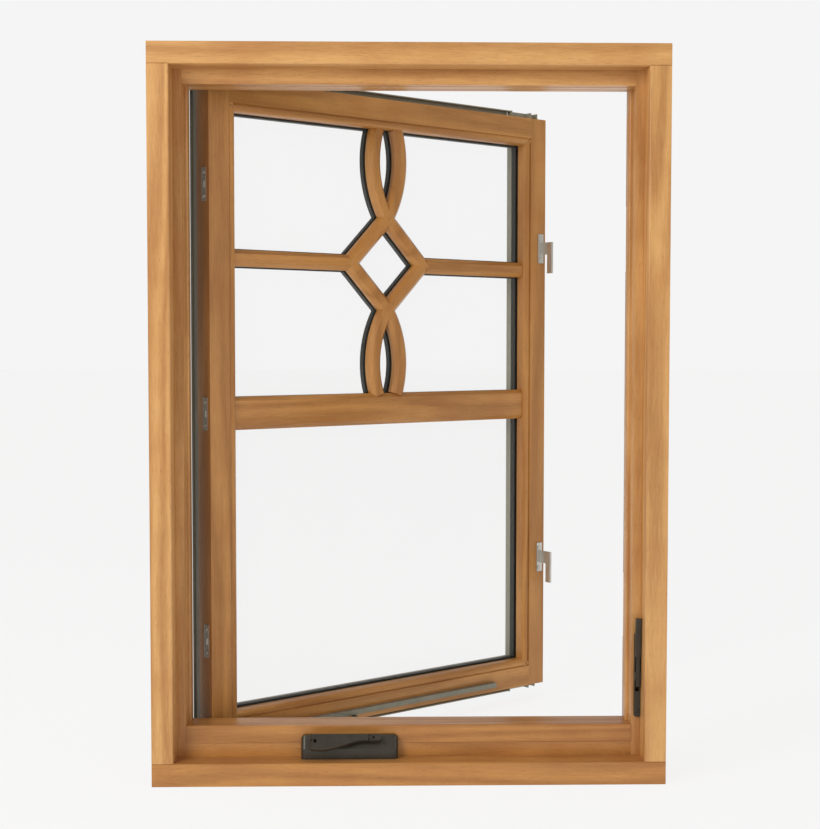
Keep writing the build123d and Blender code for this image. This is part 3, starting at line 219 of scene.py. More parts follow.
@dataclass
class EffectGroups:
    """Shader groups shared by the finishes, built once each."""

    made: dict[str, bpy.types.NodeTree] = field(default_factory=dict)

    def start(
        self, name: str, inputs: dict[str, float | None], outputs: list[str]
    ) -> tuple[Wiring, dict, dict]:
        """Make an empty group with named sockets.

        Args:
            name: Name of the group.
            inputs: Input names with their defaults, None for a vector.
            outputs: Names of the float outputs.

        Returns:
            The wiring helper, the input sockets and the output sockets by name.
        """
        tree = bpy.data.node_groups.new(name, "ShaderNodeTree")
        for title, default in inputs.items():
            kind = "NodeSocketVector" if default is None else "NodeSocketFloat"
            socket = tree.interface.new_socket(name=title, in_out="INPUT", socket_type=kind)
            if default is not None:
                socket.default_value = default
        for title in outputs:
            tree.interface.new_socket(name=title, in_out="OUTPUT", socket_type="NodeSocketFloat")
        wiring = Wiring(tree)
        entry = wiring.add("NodeGroupInput")
        leave = wiring.add("NodeGroupOutput")
        self.made[name] = tree
        return wiring, {s.name: s for s in entry.outputs}, {s.name: s for s in leave.inputs}

    def timber(self) -> bpy.types.NodeTree:
        """Group that turns grain-aligned coordinates into figure, pores, blotches and relief.

        Returns:
            The group's node tree.
        """
        if "timber_figure" in self.made:
            return self.made["timber_figure"]
        w, given, out = self.start(
            "timber_figure", {"Along Grain": None, "Ring Count": 7.0}, ["Figure", "Pores", "Blotch", "Relief"]
        )
        squeeze = w.add("ShaderNodeVectorMath", operation="MULTIPLY")
        w.join(given["Along Grain"], squeeze.inputs[0])
        squeeze.inputs[1].default_value = (1.0, 1.0, 0.075)
        fine = w.add("ShaderNodeVectorMath", operation="MULTIPLY")
        w.join(given["Along Grain"], fine.inputs[0])
        fine.inputs[1].default_value = (1.0, 1.0, 0.045)
        base = w.noise(squeeze.outputs[0], 11.0, 2.0, 0.45)
        rings = w.math("SINE", w.math("MULTIPLY", w.math("MULTIPLY", base, given["Ring Count"]), math.tau))
        hair = w.noise(squeeze.outputs[0], 330.0, 3.0, 0.6)
        figure = w.math("ADD", w.spread(rings, -1.0, 1.0, 0.0, 0.62), w.spread(hair, 0.3, 0.7, 0.0, 0.38))
        w.join(figure, out["Figure"])
        pores = w.noise(fine.outputs[0], 1500.0, 1.0, 0.5)
        w.join(w.spread(pores, 0.64, 0.74, 0.0, 1.0), out["Pores"])
        w.join(w.noise(given["Along Grain"], 9.0, 2.0, 0.5), out["Blotch"])
        w.join(w.math("ADD", w.math("MULTIPLY", hair, 0.6), w.math("MULTIPLY", pores, 0.4)), out["Relief"])
        return w.tree

    def settled_dust(self) -> bpy.types.NodeTree:
        """Group that gathers a little dust on faces that look up.

        Returns:
            The group's node tree.
        """
        if "settled_dust" in self.made:
            return self.made["settled_dust"]
        w, given, out = self.start("settled_dust", {"Position": None, "Amount": 0.3}, ["Mask"])
        face = w.add("ShaderNodeNewGeometry")
        split = w.add("ShaderNodeSeparateXYZ")
        w.join(face.outputs["Normal"], split.inputs[0])
        upward = w.spread(split.outputs[2], 0.6, 1.0, 0.0, 1.0)
        patch = w.spread(w.noise(given["Position"], 60.0, 4.0, 0.6), 0.4, 0.7, 0.3, 1.0)
        w.join(w.math("MULTIPLY", w.math("MULTIPLY", upward, patch), given["Amount"], True), out["Mask"])
        return w.tree

    def fine_grit(self) -> bpy.types.NodeTree:
        """Group of fine surface variation for metal and rubber.

        Returns:
            The group's node tree.
        """
        if "fine_grit" in self.made:
            return self.made["fine_grit"]
        w, given, out = self.start("fine_grit", {"Position": None, "Smear": 0.5}, ["Grit", "Smudge"])
        w.join(w.noise(given["Position"], 2600.0, 2.0, 0.6), out["Grit"])
        smudge = w.noise(given["Position"], 42.0, 5.0, 0.65)
        w.join(w.math("MULTIPLY", w.spread(smudge, 0.35, 0.7, 0.0, 1.0), given["Smear"], True), out["Smudge"])
        return w.tree

    def use(self, wiring: Wiring, tree: bpy.types.NodeTree, **values: object) -> bpy.types.Node:
        """Place a group in a material.

        Args:
            wiring: Wiring helper of the material.
            tree: The group to place.
            values: Inputs by name, with spaces written as underscores.

        Returns:
            The group node.
        """
        node = wiring.add("ShaderNodeGroup", node_tree=tree)
        for name, value in values.items():
            wiring.feed(node.inputs[name.replace("_", " ")], value)
        return node


GROUPS = EffectGroups()


def fresh_material(name: str) -> tuple[bpy.types.Material, Wiring, bpy.types.Node, bpy.types.Node]:
    """Make an empty material with a principled shader.

    Args:
        name: Name of the material.

    Returns:
        The material, its wiring helper, the principled shader and the coordinate node.
    """
    material = bpy.data.materials.new(name)
    material.use_nodes = True
    material.node_tree.nodes.clear()
    w = Wiring(material.node_tree)
    output = w.add("ShaderNodeOutputMaterial")
    shader = w.add("ShaderNodeBsdfPrincipled")
    w.join(shader.outputs[0], output.inputs[0])
    return material, w, shader, w.add("ShaderNodeTexCoord")


def soften(w: Wiring, shader: bpy.types.Node, height: object, depth: float, radius: float) -> None:
    """Round the arrises in shading and add a bump.

    Args:
        w: Wiring helper of the material.
        shader: Principled shader to drive.
        height: Height socket for the bump.
        depth: Bump distance in metres.
        radius: Radius of the softened arris in metres.
    """
    edge = w.add("ShaderNodeBevel", samples=4)
    edge.inputs["Radius"].default_value = radius
    bump = w.add("ShaderNodeBump")
    bump.inputs["Strength"].default_value = 1.0
    bump.inputs["Distance"].default_value = depth
    w.feed(bump.inputs["Height"], height)
    w.join(edge.outputs[0], bump.inputs["Normal"])
    w.join(bump.outputs[0], shader.inputs["Normal"])


@dataclass(frozen=True)
class TimberFinish:
    """Clear-coated softwood or alder with fine flecks and a quiet figure.

    Attributes:
        name: Name of the material.
        pale: Colour of the early wood.
        deep: Colour of the late wood.
        run: Direction of the grain.
        place: Whether the board belongs to the frame or to the turned sash.
        shift: Offset that gives each board its own figure.
        rings: How many bands the figure has.
        arris: Radius of the softened edges in metres.
    """

    name: str
    pale: Colour
    deep: Colour
    run: GrainRun
    place: Place = Place.FRAME
    shift: float = 0.0
    rings: float = 7.0
    arris: float = 0.8 * MM

    def grain_space(self, w: Wiring, coords: bpy.types.Node) -> bpy.types.NodeSocket:
        """Turn object coordinates so that the third one runs along the grain.

        Args:
            w: Wiring helper of the material.
            coords: Texture coordinate node.

        Returns:
            Vector socket in grain space.
        """
        turn = w.add("ShaderNodeMapping")
        w.join(coords.outputs["Object"], turn.inputs["Vector"])
        turn.inputs["Rotation"].default_value = (0.0, 0.0, -SASH_TURN * self.place.value)
        turn.inputs["Location"].default_value = (self.shift, 0.37 * self.shift, 1.9 * self.shift)
        if self.run is GrainRun.UPRIGHT:
            return turn.outputs[0]
        tilt = w.add("ShaderNodeMapping")
        w.join(turn.outputs[0], tilt.inputs["Vector"])
        angle = math.pi / 2 if self.run is GrainRun.LEVEL else math.pi / 4
        tilt.inputs["Rotation"].default_value = (0.0, -angle, 0.0)
        return tilt.outputs[0]

    def build(self) -> bpy.types.Material:
        """Make the material.

        Returns:
            The finished material.
        """
        material, w, shader, coords = fresh_material(self.name)
        space = self.grain_space(w, coords)
        figure = GROUPS.use(w, GROUPS.timber(), Along_Grain=space, Ring_Count=self.rings)
        dust = GROUPS.use(w, GROUPS.settled_dust(), Position=coords.outputs["Object"], Amount=0.04)
        body = w.blend_colours(figure.outputs["Figure"], self.pale, self.deep)
        warm = tuple(c * k for c, k in zip(self.deep, (1.02, 0.84, 0.66)))
        blotched = w.blend_colours(w.spread(figure.outputs["Blotch"], 0.45, 0.8, 0.0, 0.5), body, warm)
        pore_colour = tuple(c * 0.42 for c in self.deep)
        pored = w.blend_colours(w.math("MULTIPLY", figure.outputs["Pores"], 0.55), blotched, pore_colour)
        dusty = w.blend_colours(dust.outputs["Mask"], pored, (0.86, 0.80, 0.70))
        w.join(dusty, shader.inputs["Base Color"])
        w.join(w.spread(figure.outputs["Figure"], 0.0, 1.0, 0.34, 0.47), shader.inputs["Roughness"])
        shader.inputs["Coat Weight"].default_value = 0.28
        shader.inputs["Coat Roughness"].default_value = 0.22
        shader.inputs["Specular IOR Level"].default_value = 0.42
        soften(w, shader, figure.outputs["Relief"], 0.12 * MM, self.arris)
        return material


@dataclass(frozen=True)
class MetalFinish:
    """Painted, plated or bronzed metal.

    Attributes:
        name: Name of the material.
        colour: Colour of the clean surface.
        worn: Colour that shows through smudges.
        metallic: Share of bare metal.
        roughness: Typical roughness.
        grit: Depth of the fine texture in metres.
        dust: Amount of settled dust.
    """

    name: str
    colour: Colour
    worn: Colour
    metallic: float
    roughness: float
    grit: float = 0.01 * MM
    dust: float = 0.2

    def build(self) -> bpy.types.Material:
        """Make the material.

        Returns:
            The finished material.
        """
        material, w, shader, coords = fresh_material(self.name)
        place = coords.outputs["Object"]
        texture = GROUPS.use(w, GROUPS.fine_grit(), Position=place, Smear=0.6)
        dust = GROUPS.use(w, GROUPS.settled_dust(), Position=place, Amount=self.dust)
        smeared = w.blend_colours(texture.outputs["Smudge"], self.colour, self.worn)
        dusty = w.blend_colours(dust.outputs["Mask"], smeared, (0.62, 0.58, 0.50))
        w.join(dusty, shader.inputs["Base Color"])
        low, high = self.roughness * 0.85, min(1.0, self.roughness * 1.25)
        w.join(w.spread(texture.outputs["Smudge"], 0.0, 0.6, low, high), shader.inputs["Roughness"])
        shader.inputs["Metallic"].default_value = self.metallic
        soften(w, shader, texture.outputs["Grit"], self.grit, 0.35 * MM)
        return material


@dataclass(frozen=True)
class GlassFinish:
    """Clear float glass, seen mostly through with a faint tint.

    Attributes:
        name: Name of the material.
        tint: Colour of the glass.
        haze: Share of light that the pane itself shows.
    """

    name: str
    tint: Colour
    haze: float

    def build(self) -> bpy.types.Material:
        """Make the material.

        Returns:
            The finished material.
        """
        material, w, shader, coords = fresh_material(self.name)
        texture = GROUPS.use(w, GROUPS.fine_grit(), Position=coords.outputs["Object"], Smear=0.4)
        smudged = w.blend_colours(texture.outputs["Smudge"], self.tint, (0.93, 0.95, 0.95))
        w.join(smudged, shader.inputs["Base Color"])
        w.join(w.spread(texture.outputs["Smudge"], 0.0, 0.4, 0.02, 0.06), shader.inputs["Roughness"])
        shader.inputs["Alpha"].default_value = self.haze
        return material


FRAME_PALE: Colour = (0.70, 0.38, 0.13)
FRAME_DEEP: Colour = (0.42, 0.185, 0.048)
# Where the viewer stands in millimetres, and its yaw, pitch and roll in radians.
CAMERA_PLACE = (-47.895, -2379.873, 719.772)
CAMERA_TURNS = (0.0207586, -0.0483608, 0.00055)

SILL_PALE: Colour = (0.55, 0.25, 0.06)
SILL_DEEP: Colour = (0.36, 0.145, 0.032)
SASH_PALE: Colour = (0.56, 0.26, 0.062)
SASH_DEEP: Colour = (0.35, 0.14, 0.024)


@dataclass
class Workshop:
    """Makes every finish once and hands it out by name."""

    kept: dict[str, bpy.types.Material] = field(default_factory=dict)

    def finishes(self) -> list[TimberFinish | MetalFinish | GlassFinish]:
        """List every finish of the window.

        Returns:
            The finishes in the order in which they are made.
        """
        frame = (FRAME_PALE, FRAME_DEEP)
        sash = (SASH_PALE, SASH_DEEP)
        sill = (SILL_PALE, SILL_DEEP)
        up, level, rising = GrainRun.UPRIGHT, GrainRun.LEVEL, GrainRun.RISING
        return [
            TimberFinish("jamb_left_timber", *frame, up, shift=0.13),
            TimberFinish("jamb_right_timber", *frame, up, shift=1.71, rings=6.0),
            TimberFinish("head_timber", *frame, level, shift=0.55),
            TimberFinish("sill_timber", *sill, level, shift=2.25, rings=8.0),
            TimberFinish("stop_timber", *frame, up, shift=3.4),
            TimberFinish("sill_board_timber", *sill, level, shift=4.15, rings=9.0),
            TimberFinish("stile_timber", *sash, up, Place.SASH, shift=0.9),
            TimberFinish("rail_timber", *sash, level, Place.SASH, shift=1.35),
            TimberFinish("diamond_timber", *sash, rising, Place.SASH, shift=2.6),
            MetalFinish("clad_paint", (0.27, 0.255, 0.19), (0.32, 0.30, 0.23), 0.0, 0.42),
            MetalFinish("bronze_satin", (0.040, 0.034, 0.024), (0.062, 0.054, 0.040), 0.35, 0.34, dust=0.10),
            MetalFinish("plated_satin", (0.62, 0.60, 0.55), (0.48, 0.46, 0.41), 0.85, 0.33),
            MetalFinish("track_zinc", (0.235, 0.225, 0.175), (0.19, 0.18, 0.14), 0.55, 0.42),
            MetalFinish("spacer_black", (0.010, 0.010, 0.006), (0.02, 0.02, 0.015), 0.0, 0.48, dust=0.0),
            MetalFinish("seal_rubber", (0.115, 0.088, 0.052), (0.15, 0.12, 0.08), 0.0, 0.72, 0.03 * MM),
            GlassFinish("clear_pane", (0.80, 0.88, 0.86), 0.015),
        ]

    def make_all(self) -> None:
        """Build every finish."""
        for finish in self.finishes():
            self.kept[finish.name] = finish.build()
            log.info("finish %s", finish.name)

    def dress(self, node: bpy.types.Object, name: str) -> None:
        """Put a finish in every material slot of an object.

        Args:
            node: Object to dress.
            name: Name of the finish.
        """
        for holder in node.material_slots:
            holder.material = self.kept[name]
        if not node.material_slots:
            node.data.materials.append(self.kept[name])


@dataclass
class Dressing:
    """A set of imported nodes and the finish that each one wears.

    Attributes:
        title: Name of the sub-assembly.
        wears: Node names with the names of their finishes.
    """

    title: str
    wears: dict[str, str]

    def apply(self, nodes: dict[str, bpy.types.Object], shop: Workshop) -> None:
        """Dress the nodes of this sub-assembly.

        Args:
            nodes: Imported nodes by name.
            shop: Source of the finishes.
        """
        for name, finish in self.wears.items():
            shop.dress(nodes[name], finish)
            log.info("%s: %s in %s", self.title, name, finish)


class FrameJoinery(Dressing):
    """Jambs, head, sill, stops and boards of the outer frame."""

    def __init__(self) -> None:
        """List the frame's timber, cladding and seals."""
        super().__init__(
            "frame",
            {
                "hinge_jamb": "jamb_left_timber",
                "lock_jamb": "jamb_right_timber",
                "head_jamb": "head_timber",
                "sill": "sill_timber",
                "hinge_side_stop": "stop_timber",
                "lock_side_stop": "stop_timber",
                "head_stop": "head_timber",
                "sill_upper_board": "sill_board_timber",
                "sill_lower_board": "sill_timber",
                "frame_clad_head": "clad_paint",
                "frame_clad_sill": "clad_paint",
                "frame_clad_jambs": "clad_paint",
                "frame_weatherstrip": "seal_rubber",
            },
        )


class SashJoinery(Dressing):
    """Stiles, rails, grille, glass and cladding of the opening sash."""

    def __init__(self) -> None:
        """List the sash's timber, glass and cladding."""
        stiles = {name: "stile_timber" for name in ("sash_hinge_stile", "sash_lock_stile")}
        rails = {
            name: "rail_timber"
            for name in (
                "sash_top_rail",
                "sash_bottom_rail",
                "check_rail",
                "hinge_side_muntin",
                "lock_side_muntin",
            )
        }
        bows = {
            f"{end}_bow_{side}_side": "stile_timber"
            for end in ("upper", "lower")
            for side in ("hinge", "lock")
        }
        rest = {
            "diamond": "diamond_timber",
            "inner_pane": "clear_pane",
            "outer_pane": "clear_pane",
            "pane_spacer": "spacer_black",
            "black_grille": "spacer_black",
            "outer_grille": "clad_paint",
            "sash_clad_hinge": "clad_paint",
            "sash_clad_lock": "clad_paint",
            "sash_clad_rails": "clad_paint",
        }
        super().__init__("sash", {**stiles, **rails, **bows, **rest})


class Ironmongery(Dressing):
    """Hinges, operator, crank and lock."""

    def __init__(self) -> None:
        """List the metal pieces."""
        bronze = (
            "operator_cover",
            "crank_hub",
            "crank_arm",
            "crank_knob",
            "lock_lever",
            "lock_escutcheon",
            "crank_stud",
        )
        zinc = ("sash_track", "operator_arm", "operator_base", "arm_shoe", "hinge_tracks", "frame_screws")
        plated = (
            "keepers",
            "sash_snubbers",
            "sash_screws",
            "sash_hinge_arms",
            "hinge_arm_lower",
            "hinge_arm_upper",
            "hinge_shoe_lower",
            "hinge_shoe_upper",
            "operator_gear",
            "worm_shaft",
            "hub_fold_pin",
            "knob_pin",
            "lever_pin",
            "tie_bar",
        )
        super().__init__(
            "hardware",
            {
                **{name: "bronze_satin" for name in bronze},
                **{name: "track_zinc" for name in zinc},
                **{name: "plated_satin" for name in plated},
            },
        )


def settle(obj: bpy.types.Object) -> bpy.types.Object:
    """Turn a live object into a plain mesh at the origin.

    Args:
        obj: Object whose modifiers are to be applied.

    Returns:
        The same object with the finished mesh and no modifiers.
    """
    graph = bpy.context.evaluated_depsgraph_get()
    mesh = bpy.data.meshes.new_from_object(obj.evaluated_get(graph))
    obj.modifiers.clear()
    obj.data = mesh
    tidy = bmesh.new()
    tidy.from_mesh(mesh)
    bmesh.ops.recalc_face_normals(tidy, faces=tidy.faces)
    tidy.to_mesh(mesh)
    tidy.free()
    return obj


def islands(mesh: bpy.types.Mesh) -> list[np.ndarray]:
    """Split a mesh into the vertex positions of its separate solids.

    Args:
        mesh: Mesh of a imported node.

    Returns:
        One array of points for each solid.
    """
    work = bmesh.new()
    work.from_mesh(mesh)
    bmesh.ops.remove_doubles(work, verts=work.verts, dist=1e-6)
    seen: set[int] = set()
    found = []
    for start in work.verts:
        if start.index in seen:
            continue
        stack = [start]
        seen.add(start.index)
        points = []
        while stack:
            vertex = stack.pop()
            points.append(tuple(vertex.co))
            for edge in vertex.link_edges:
                other = edge.other_vert(vertex)
                if other.index not in seen:
                    seen.add(other.index)
                    stack.append(other)
        found.append(np.array(points))
    work.free()
    return found


@dataclass
class ScrewHeads:
    """Domed, cross-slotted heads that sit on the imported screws.

    Attributes:
        node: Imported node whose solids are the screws.
        body: Body that the heads ride on.
        radius: Radius of a head in metres.
        dome: Height of the dome in metres.
        slot_width: Width of a slot in metres.
    """

    node: str
    body: str
    radius: float = 3.5 * MM
    dome: float = 0.9 * MM
    slot_width: float = 0.9 * MM

    def pattern(self) -> bpy.types.Object:
        """Model one head with its axis along Z.

        Returns:
            The head, to be repeated.
        """
        work = bmesh.new()
        rings = 5
        sides = 24
        rows = []
        for row in range(rings):
            share = row / rings
            level = self.dome * math.sqrt(max(0.0, 1 - share**2))
            if row == 0:
                rows.append([work.verts.new((0.0, 0.0, level * 0.55))])
                continue
            ring = []
            for step in range(sides):
                angle = math.tau * step / sides
                cross = min(abs(math.sin(2 * angle)) * self.radius * share, self.radius)
                sunk = cross < self.slot_width and share < 0.75
                height = level * 0.45 if sunk else level
                reach = self.radius * share
                ring.append(work.verts.new((math.cos(angle) * reach, math.sin(angle) * reach, height)))
            rows.append(ring)
        rim = [
            work.verts.new(
                (
                    math.cos(math.tau * s / sides) * self.radius,
                    math.sin(math.tau * s / sides) * self.radius,
                    0.0,
                )
            )
            for s in range(sides)
        ]
        rows.append(rim)
        for step in range(sides):
            after = (step + 1) % sides
            work.faces.new((rows[0][0], rows[1][step], rows[1][after]))
            for inner, outer in zip(rows[1:-1], rows[2:]):
                work.faces.new((inner[step], outer[step], outer[after], inner[after]))
        work.faces.new(list(reversed(rim)))
        mesh = bpy.data.meshes.new(f"{self.node}_head_pattern")
        work.to_mesh(mesh)
        work.free()
        return bpy.data.objects.new(f"{self.node}_head_pattern", mesh)

    def marks(self, node: bpy.types.Object) -> tuple[list[Vector], list[Vector]]:
        """Find where each head sits and which way it faces.

        Args:
            node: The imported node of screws.

        Returns:
            Positions of the tops of the heads, and their outward directions.
        """
        spots, ways = [], []
        for points in islands(node.data):
            middle = points.mean(axis=0)
            spread = np.linalg.svd(points - points.mean(axis=0), full_matrices=False)[2]
            axis = spread[0]
            along = (points - middle) @ axis
            away = np.linalg.norm((points - middle) - np.outer(along, axis), axis=1)
            wide = along[away > away.max() * 0.9]
            if abs(wide.max() - along.min()) < abs(along.max() - wide.min()):
                axis = -axis
                along = -along
            spots.append(Vector(middle + axis * (along.max() - 0.05 * MM)))
            ways.append(Vector(axis))
        return spots, ways

    def build(self, node: bpy.types.Object, material: bpy.types.Material) -> bpy.types.Object:
        """Repeat the head on every screw.

        Args:
            node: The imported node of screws.
            material: Finish of the heads.

        Returns:
            The piece that holds all the heads.
        """
        spots, ways = self.marks(node)
        mesh = bpy.data.meshes.new(f"{self.node}_heads")
        mesh.from_pydata([tuple(s) for s in spots], [], [])
        facing = mesh.attributes.new("facing", "FLOAT_VECTOR", "POINT")
        for index, way in enumerate(ways):
            facing.data[index].vector = way
        piece = bpy.data.objects.new(f"{self.node}_heads", mesh)
        bpy.context.scene.collection.objects.link(piece)
        pattern = self.pattern()
        tree = bpy.data.node_groups.new(f"repeat_{self.node}_heads", "GeometryNodeTree")
        tree.interface.new_socket(name="Screw Points", in_out="INPUT", socket_type="NodeSocketGeometry")
        scale_socket = tree.interface.new_socket(
            name="Head Scale", in_out="INPUT", socket_type="NodeSocketFloat"
        )
        seed_socket = tree.interface.new_socket(name="Slot Seed", in_out="INPUT", socket_type="NodeSocketInt")
        tree.interface.new_socket(name="Heads", in_out="OUTPUT", socket_type="NodeSocketGeometry")
        w = Wiring(tree)
        entry, leave = w.add("NodeGroupInput"), w.add("NodeGroupOutput")
        named = w.add("GeometryNodeInputNamedAttribute", data_type="FLOAT_VECTOR")
        named.inputs["Name"].default_value = "facing"
        align = w.add("FunctionNodeAlignRotationToVector", axis="Z")
        w.join(named.outputs[0], align.inputs["Vector"])
        chance = w.add("FunctionNodeRandomValue", data_type="FLOAT")
        floats = [s for s in chance.inputs if s.type == "VALUE" and s.enabled]
        floats[0].default_value, floats[1].default_value = 0.0, math.pi / 2
        w.join(entry.outputs["Slot Seed"], chance.inputs["Seed"])
        spin = w.add("FunctionNodeAxisAngleToRotation")
        spin.inputs["Axis"].default_value = (0.0, 0.0, 1.0)
        random_float = next(s for s in chance.outputs if s.type == "VALUE" and s.enabled)
        w.join(random_float, spin.inputs["Angle"])
        turn = w.add("FunctionNodeRotateRotation", rotation_space="LOCAL")
        w.join(align.outputs[0], turn.inputs[0])
        w.join(spin.outputs[0], turn.inputs[1])
        source = w.add("GeometryNodeObjectInfo")
        source.inputs["Object"].default_value = pattern
        repeat = w.add("GeometryNodeInstanceOnPoints")
        w.join(entry.outputs["Screw Points"], repeat.inputs["Points"])
        w.join(source.outputs["Geometry"], repeat.inputs["Instance"])
        w.join(turn.outputs[0], repeat.inputs["Rotation"])
        w.join(entry.outputs["Head Scale"], repeat.inputs["Scale"])
        real = w.add("GeometryNodeRealizeInstances")
        paint = w.add("GeometryNodeSetMaterial")
        paint.inputs["Material"].default_value = material
        w.join(repeat.outputs[0], real.inputs[0])
        w.join(real.outputs[0], paint.inputs["Geometry"])
        w.join(paint.outputs[0], leave.inputs["Heads"])
        modifier = piece.modifiers.new("heads", "NODES")
        modifier.node_group = tree
        modifier[scale_socket.identifier] = 1.0
        modifier[seed_socket.identifier] = 7
        settle(piece)
        bpy.data.objects.remove(pattern)
        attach(piece, self.body)
        log.info("piece %s: %d heads", piece.name, len(spots))
        return piece


@dataclass
class SealBead:
    """Rounded bulb of the weatherstrip that runs round the opening.

    Attributes:
        radius: Radius of the bulb in metres.
        inset: How far the bulb's centre lies inside the strip's outline.
        start: Where the bulb begins along the head and the sill, in metres.
    """

    radius: float = 1.15 * MM
    inset: float = 4.5 * MM
    start: float = -305.0 * MM

    def build(self, material: bpy.types.Material) -> bpy.types.Object:
        """Sweep the bulb round the thick part of the strip.

        Args:
            material: Finish of the bulb.

        Returns:
            The bulb piece.
        """
        low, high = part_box("frame_weatherstrip")
        depth = high[1] - self.radius
        corners = [
            (self.start, depth, low[2] + self.inset),
            (high[0] - self.inset, depth, low[2] + self.inset),
            (high[0] - self.inset, depth, high[2] - self.inset),
            (self.start, depth, high[2] - self.inset),
        ]
        mesh = bpy.data.meshes.new("seal_bead")
        mesh.from_pydata(corners, [(0, 1), (1, 2), (2, 3)], [])
        piece = bpy.data.objects.new("seal_bead", mesh)
        bpy.context.scene.collection.objects.link(piece)
        tree = bpy.data.node_groups.new("sweep_seal_bead", "GeometryNodeTree")
        tree.interface.new_socket(name="Route", in_out="INPUT", socket_type="NodeSocketGeometry")
        radius_socket = tree.interface.new_socket(
            name="Bulb Radius", in_out="INPUT", socket_type="NodeSocketFloat"
        )
        tree.interface.new_socket(name="Bulb", in_out="OUTPUT", socket_type="NodeSocketGeometry")
        w = Wiring(tree)
        entry, leave = w.add("NodeGroupInput"), w.add("NodeGroupOutput")
        path = w.add("GeometryNodeMeshToCurve")
        ring = w.add("GeometryNodeCurvePrimitiveCircle")
        ring.inputs["Resolution"].default_value = 14
        sweep = w.add("GeometryNodeCurveToMesh")
        sweep.inputs["Fill Caps"].default_value = True
        paint = w.add("GeometryNodeSetMaterial")
        paint.inputs["Material"].default_value = material
        real = w.add("GeometryNodeRealizeInstances")
        w.join(entry.outputs["Route"], path.inputs["Mesh"])
        w.join(entry.outputs["Bulb Radius"], ring.inputs["Radius"])
        w.join(path.outputs[0], sweep.inputs["Curve"])
        w.join(ring.outputs[0], sweep.inputs["Profile Curve"])
        w.join(sweep.outputs[0], real.inputs[0])
        w.join(real.outputs[0], paint.inputs["Geometry"])
        w.join(paint.outputs[0], leave.inputs["Bulb"])
        modifier = piece.modifiers.new("bulb", "NODES")
        modifier.node_group = tree
        modifier[radius_socket.identifier] = self.radius
        settle(piece)
        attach(piece, "frame")
        log.info("piece %s", piece.name)
        return piece


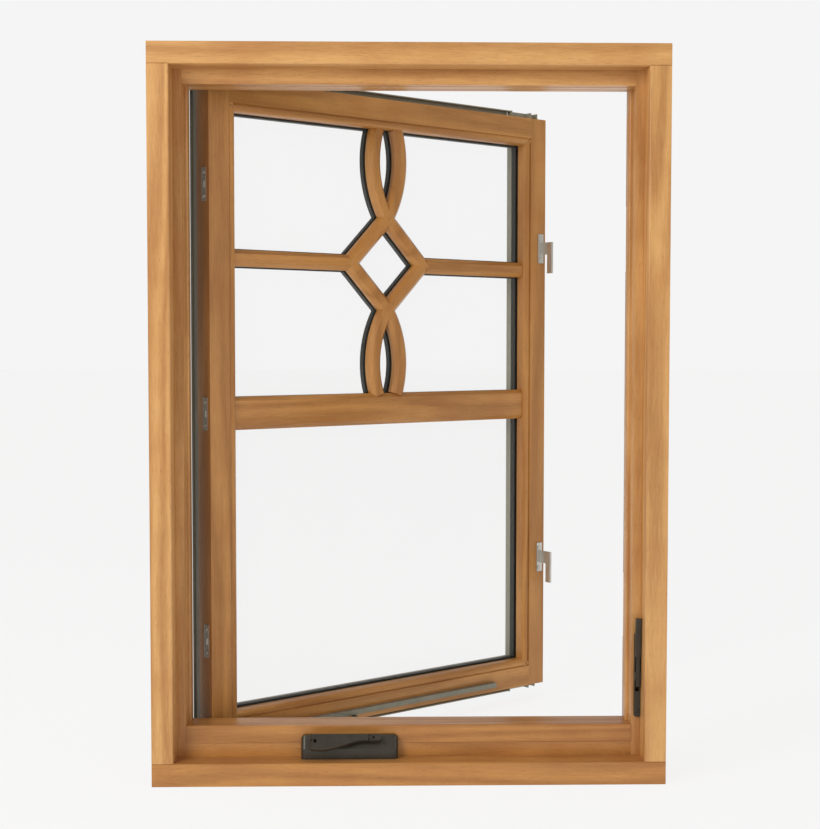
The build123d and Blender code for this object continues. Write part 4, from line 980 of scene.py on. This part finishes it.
@dataclass
class Studio:
    """Pale floor, soft lights and the camera.

    Attributes:
        backdrop: Brightness of the surroundings as the camera sees them.
        surround: Brightness of the surroundings as light.
        key_power: Power of the large light on the hinge side, in watts.
        fill_power: Power of the weaker light, in watts.
    """

    backdrop: float = 0.913
    surround: float = 0.52
    key_power: float = 56.0
    fill_power: float = 10.0

    def surroundings(self) -> None:
        """Light the scene evenly from all round, with a plain pale backdrop."""
        world = bpy.data.worlds.new("studio")
        bpy.context.scene.world = world
        world.use_nodes = True
        world.node_tree.nodes.clear()
        w = Wiring(world.node_tree)
        output = w.add("ShaderNodeOutputWorld")
        rays = w.add("ShaderNodeLightPath")
        seen, lit = w.add("ShaderNodeBackground"), w.add("ShaderNodeBackground")
        mix = w.add("ShaderNodeMixShader")
        seen.inputs[0].default_value = (self.backdrop, self.backdrop, self.backdrop, 1.0)
        lit.inputs[0].default_value = (1.0, 0.985, 0.96, 1.0)
        lit.inputs[1].default_value = self.surround
        w.join(rays.outputs["Is Camera Ray"], mix.inputs[0])
        w.join(lit.outputs[0], mix.inputs[1])
        w.join(seen.outputs[0], mix.inputs[2])
        w.join(mix.outputs[0], output.inputs[0])

    def floor(self) -> None:
        """Lay a wide pale floor under the window."""
        mesh = bpy.data.meshes.new("studio_floor")
        far = 40.0
        mesh.from_pydata([(-far, -far, 0), (far, -far, 0), (far, far, 0), (-far, far, 0)], [], [(0, 1, 2, 3)])
        floor = bpy.data.objects.new("studio_floor", mesh)
        bpy.context.scene.collection.objects.link(floor)
        material, w, shader, _ = fresh_material("floor_paper")
        shader.inputs["Base Color"].default_value = (0.12, 0.12, 0.12, 1.0)
        shader.inputs["Roughness"].default_value = 0.9
        shader.inputs["Specular IOR Level"].default_value = 0.0
        shader.inputs["Emission Color"].default_value = (1.0, 1.0, 1.0, 1.0)
        shader.inputs["Emission Strength"].default_value = 0.839
        mesh.materials.append(material)

    def lamp(self, name: str, place: tuple, target: tuple, size: float, power: float, colour: Colour) -> None:
        """Hang one square soft light.

        Args:
            name: Name of the light.
            place: Position in metres.
            target: Point that it faces.
            size: Side of the square in metres.
            power: Power in watts.
            colour: Colour of the light.
        """
        data = bpy.data.lights.new(name, "AREA")
        data.size, data.energy, data.color = size, power, colour
        lamp = bpy.data.objects.new(name, data)
        lamp.location = place
        lamp.rotation_euler = (Vector(target) - Vector(place)).to_track_quat("-Z", "Y").to_euler()
        bpy.context.scene.collection.objects.link(lamp)

    def camera(self) -> None:
        """Set the camera in front of the window, a little to the hinge side."""
        data = bpy.data.cameras.new("view")
        data.sensor_fit = "HORIZONTAL"
        data.sensor_width = 36.0
        data.lens = 1440.78 / 820.0 * 36.0
        data.clip_end = 200.0
        camera = bpy.data.objects.new("view", data)
        yaw, pitch, roll = CAMERA_TURNS
        ahead = Vector((math.sin(yaw) * math.cos(pitch), math.cos(yaw) * math.cos(pitch), math.sin(pitch)))
        right = Vector((math.cos(yaw), -math.sin(yaw), 0.0))
        above = right.cross(ahead)
        turned_right = right * math.cos(roll) + above * math.sin(roll)
        turned_above = above * math.cos(roll) - right * math.sin(roll)
        pose = Matrix((turned_right, turned_above, -ahead)).transposed().to_4x4()
        pose.translation = Vector(CAMERA_PLACE) * MM
        camera.matrix_world = pose
        bpy.context.scene.collection.objects.link(camera)
        bpy.context.scene.camera = camera

    def build(self) -> None:
        """Set up the surroundings, floor, lights and camera."""
        bpy.context.scene.view_settings.view_transform = "Standard"
        self.surroundings()
        self.floor()
        self.lamp("key", (-2.1, -2.3, 1.9), (0.0, 0.0, 0.65), 1.6, self.key_power, (1.0, 0.97, 0.92))
        self.lamp("fill", (2.4, -2.0, 1.2), (0.0, 0.0, 0.5), 2.0, self.fill_power, (1.0, 0.98, 0.95))
        self.camera()
        log.info("studio ready")


def main() -> None:
    """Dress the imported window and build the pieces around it."""
    logging.basicConfig(level=logging.INFO, format="%(name)s: %(message)s")
    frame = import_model()
    nodes = frame["nodes"]
    shop = Workshop()
    shop.make_all()
    for part in (FrameJoinery(), SashJoinery(), Ironmongery()):
        part.apply(nodes, shop)
    ScrewHeads("sash_screws", "sash").build(nodes["sash_screws"], shop.kept["plated_satin"])
    ScrewHeads("frame_screws", "frame").build(nodes["frame_screws"], shop.kept["bronze_satin"])
    SealBead().build(shop.kept["seal_rubber"])
    Studio().build()


if __name__ == "__main__":
    main()
